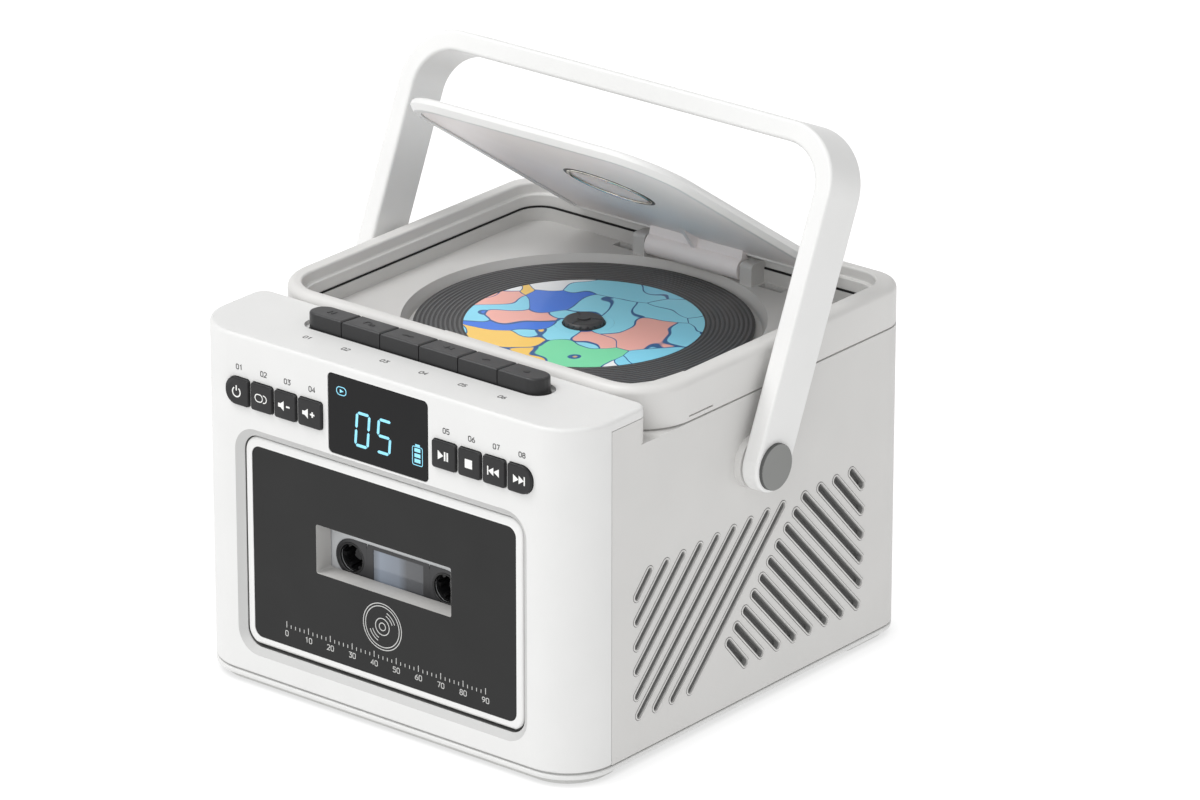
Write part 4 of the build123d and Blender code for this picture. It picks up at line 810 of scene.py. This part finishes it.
# ---------------------------------------------------------------- underside, rear
p = Piece(lambda u, v, h: V(u, v, 2.6 - h))
p.prism(rounded(-40, 40, 118, 150, 3, 4)[::-1], -0.3, 0.5)
for k in range(5):
    p.stroke([(-6 + abs(k - 2) * 0.8, 123.5 + 1.7 * k), (6 - abs(k - 2) * 0.8, 123.5 + 1.7 * k)], 0.7, 0.4, 0.95)
p.make("battery_hatch", "base", "cabinet")
p = Piece(lambda u, v, h: V(u, 185.2 + h, v))
p.stroke(rounded(37.2, 54.8, 18.4, 29.6, 2.2, 5), 0.7, -0.3, 0.3, True)
for k in range(7):
    p.stroke([(-58, 34 + 5.2 * k), (-26, 34 + 5.2 * k)], 1.5, -0.3, 0.35)
p.make("rear_ribs", "cab", "cabinet")

# ------------------------------------------------------------- seals, seams and painted shade
def plan_path(hw, y0, y1, rf, rb, n=8):
    return (arc(hw - rf, y0 + rf, rf, -90, 0, n) + arc(hw - rb, y1 - rb, rb, 0, 90, n)
            + arc(-hw + rb, y1 - rb, rb, 90, 180, n) + arc(-hw + rf, y0 + rf, rf, 180, 270, n))


tab = Piece(lambda u, v, h: V(u, v, h))
tab.prism([(77.3, 46.4), (76.5, 48.4), (77.0, 51.0), (78.4, 58.0), (79.5, 66.0), (80.6, 66.6), (80.6, 50.0), (79.2, 46.9)], 130.6, 132.9)
tab.make("rim_tab", "rim", "cabinet")
level = Piece(lambda u, v, h: V(u, v, h))
level.band(plan_path(78.6, 45.5, 178.6, 12.4, 9.6), [(-0.6, 124.25), (0.6, 124.25), (0.6, 124.95), (-0.6, 124.95)], True)
level.make("tray_seal", "seal", "cabinet")
# painted shade: a grey band in the groove between the base lip and the casing, for the shade in that groove
level = Piece(lambda u, v, h: V(u, v, h))
level.band(plan_path(85.4, 1.2, 184.0, 17.7, 12.1, 12), [(-0.35, 4.1), (0.1, 4.1), (0.1, 5.25), (-0.35, 5.25)], True)
level.make("base_groove_painted_shade", "softline", "cabinet")
level = Piece(lambda u, v, h: V(u, v, h))
level.band(plan_path(85.4, 1.2, 184.0, 17.7, 12.1, 12), [(-0.75, 2.66), (0.1, 2.66), (0.1, 4.5), (-0.8, 4.5), (-1.08, 4.36),
                                                         (-1.18, 4.1), (-1.18, 3.5), (-1.05, 2.95)], True)
level.make("base_lip", "white", "cabinet")
# painted shade: a dark grey band set deep in the gap round the door, for the shade in the gap
p = Piece(front_plane(0.0))
p.band(rounded(-62.8, 62.8, 15.0, 94.45, 6.5, 8), [(-0.06, -4.5), (0.03, -4.5), (0.03, -2.35), (-0.06, -2.35)], True)
p.make("door_gap_painted_shade", "gap", "cabinet")
# painted shade: the walls of the window's tunnel are lined in a darker grey
p = Piece(front_plane(0.0))
p.band(rounded(-30.36, 30.36, 50.24, 68.36, 0.8, 4), [(-0.05, -9.5), (0.05, -9.5), (0.05, -1.95), (-0.05, -1.95)], True)
p.make("window_tunnel_painted_shade", "tunnel", "door")

# ------------------------------------------------------------ floor and light
fm = plastic("floor_paper", (0.22, 0.22, 0.22, 1), rough=0.9, vary=0.003, bump=0.0, spec=0.1)
ft = fm.node_tree
fb = ft.nodes["Principled BSDF"]
# painted contact shadow: the floor's glow is dimmed where ambient occlusion finds the object close by
near = node(ft, "ShaderNodeAmbientOcclusion")
near.samples = 8
near.inputs["Distance"].default_value = 0.012
shade = node(ft, "ShaderNodeMapRange")
shade.inputs["From Min"].default_value = 0.1
shade.inputs["From Max"].default_value = 0.95
shade.inputs["To Min"].default_value = 0.6
shade.inputs["To Max"].default_value = 0.93
ft.links.new(near.outputs["AO"], shade.inputs["Value"])
ft.links.new(shade.outputs["Result"], fb.inputs["Emission Color"])
fb.inputs["Emission Strength"].default_value = 1.0
bm = bmesh.new()
bmesh.ops.create_grid(bm, x_segments=8, y_segments=8, size=6.0)
me = bpy.data.meshes.new("floor")
bm.to_mesh(me)
bm.free()
floor = bpy.data.objects.new("floor", me)
bpy.context.scene.collection.objects.link(floor)
me.materials.append(fm)

w = bpy.data.worlds.new("studio")
w.use_nodes = True
w.node_tree.nodes["Background"].inputs[0].default_value = (1, 1, 1, 1)
w.node_tree.nodes["Background"].inputs[1].default_value = 0.58
bpy.context.scene.world = w


def area(name, loc, target, size, power, size_y=None):
    d = bpy.data.lights.new(name, "AREA")
    d.energy = power
    d.size = size
    if size_y:
        d.shape = "RECTANGLE"
        d.size_y = size_y
    o = bpy.data.objects.new(name, d)
    o.location = loc
    o.rotation_euler = (Vector(target) - Vector(loc)).to_track_quat("-Z", "Y").to_euler()
    bpy.context.scene.collection.objects.link(o)
    return o


area("key_light", (-0.85, -0.88, 2.28), (0, 0, 0.08), 1.1, 33)
area("fill_light", (0.75, -1.65, 1.25), (0, 0, 0.1), 1.2, 11)
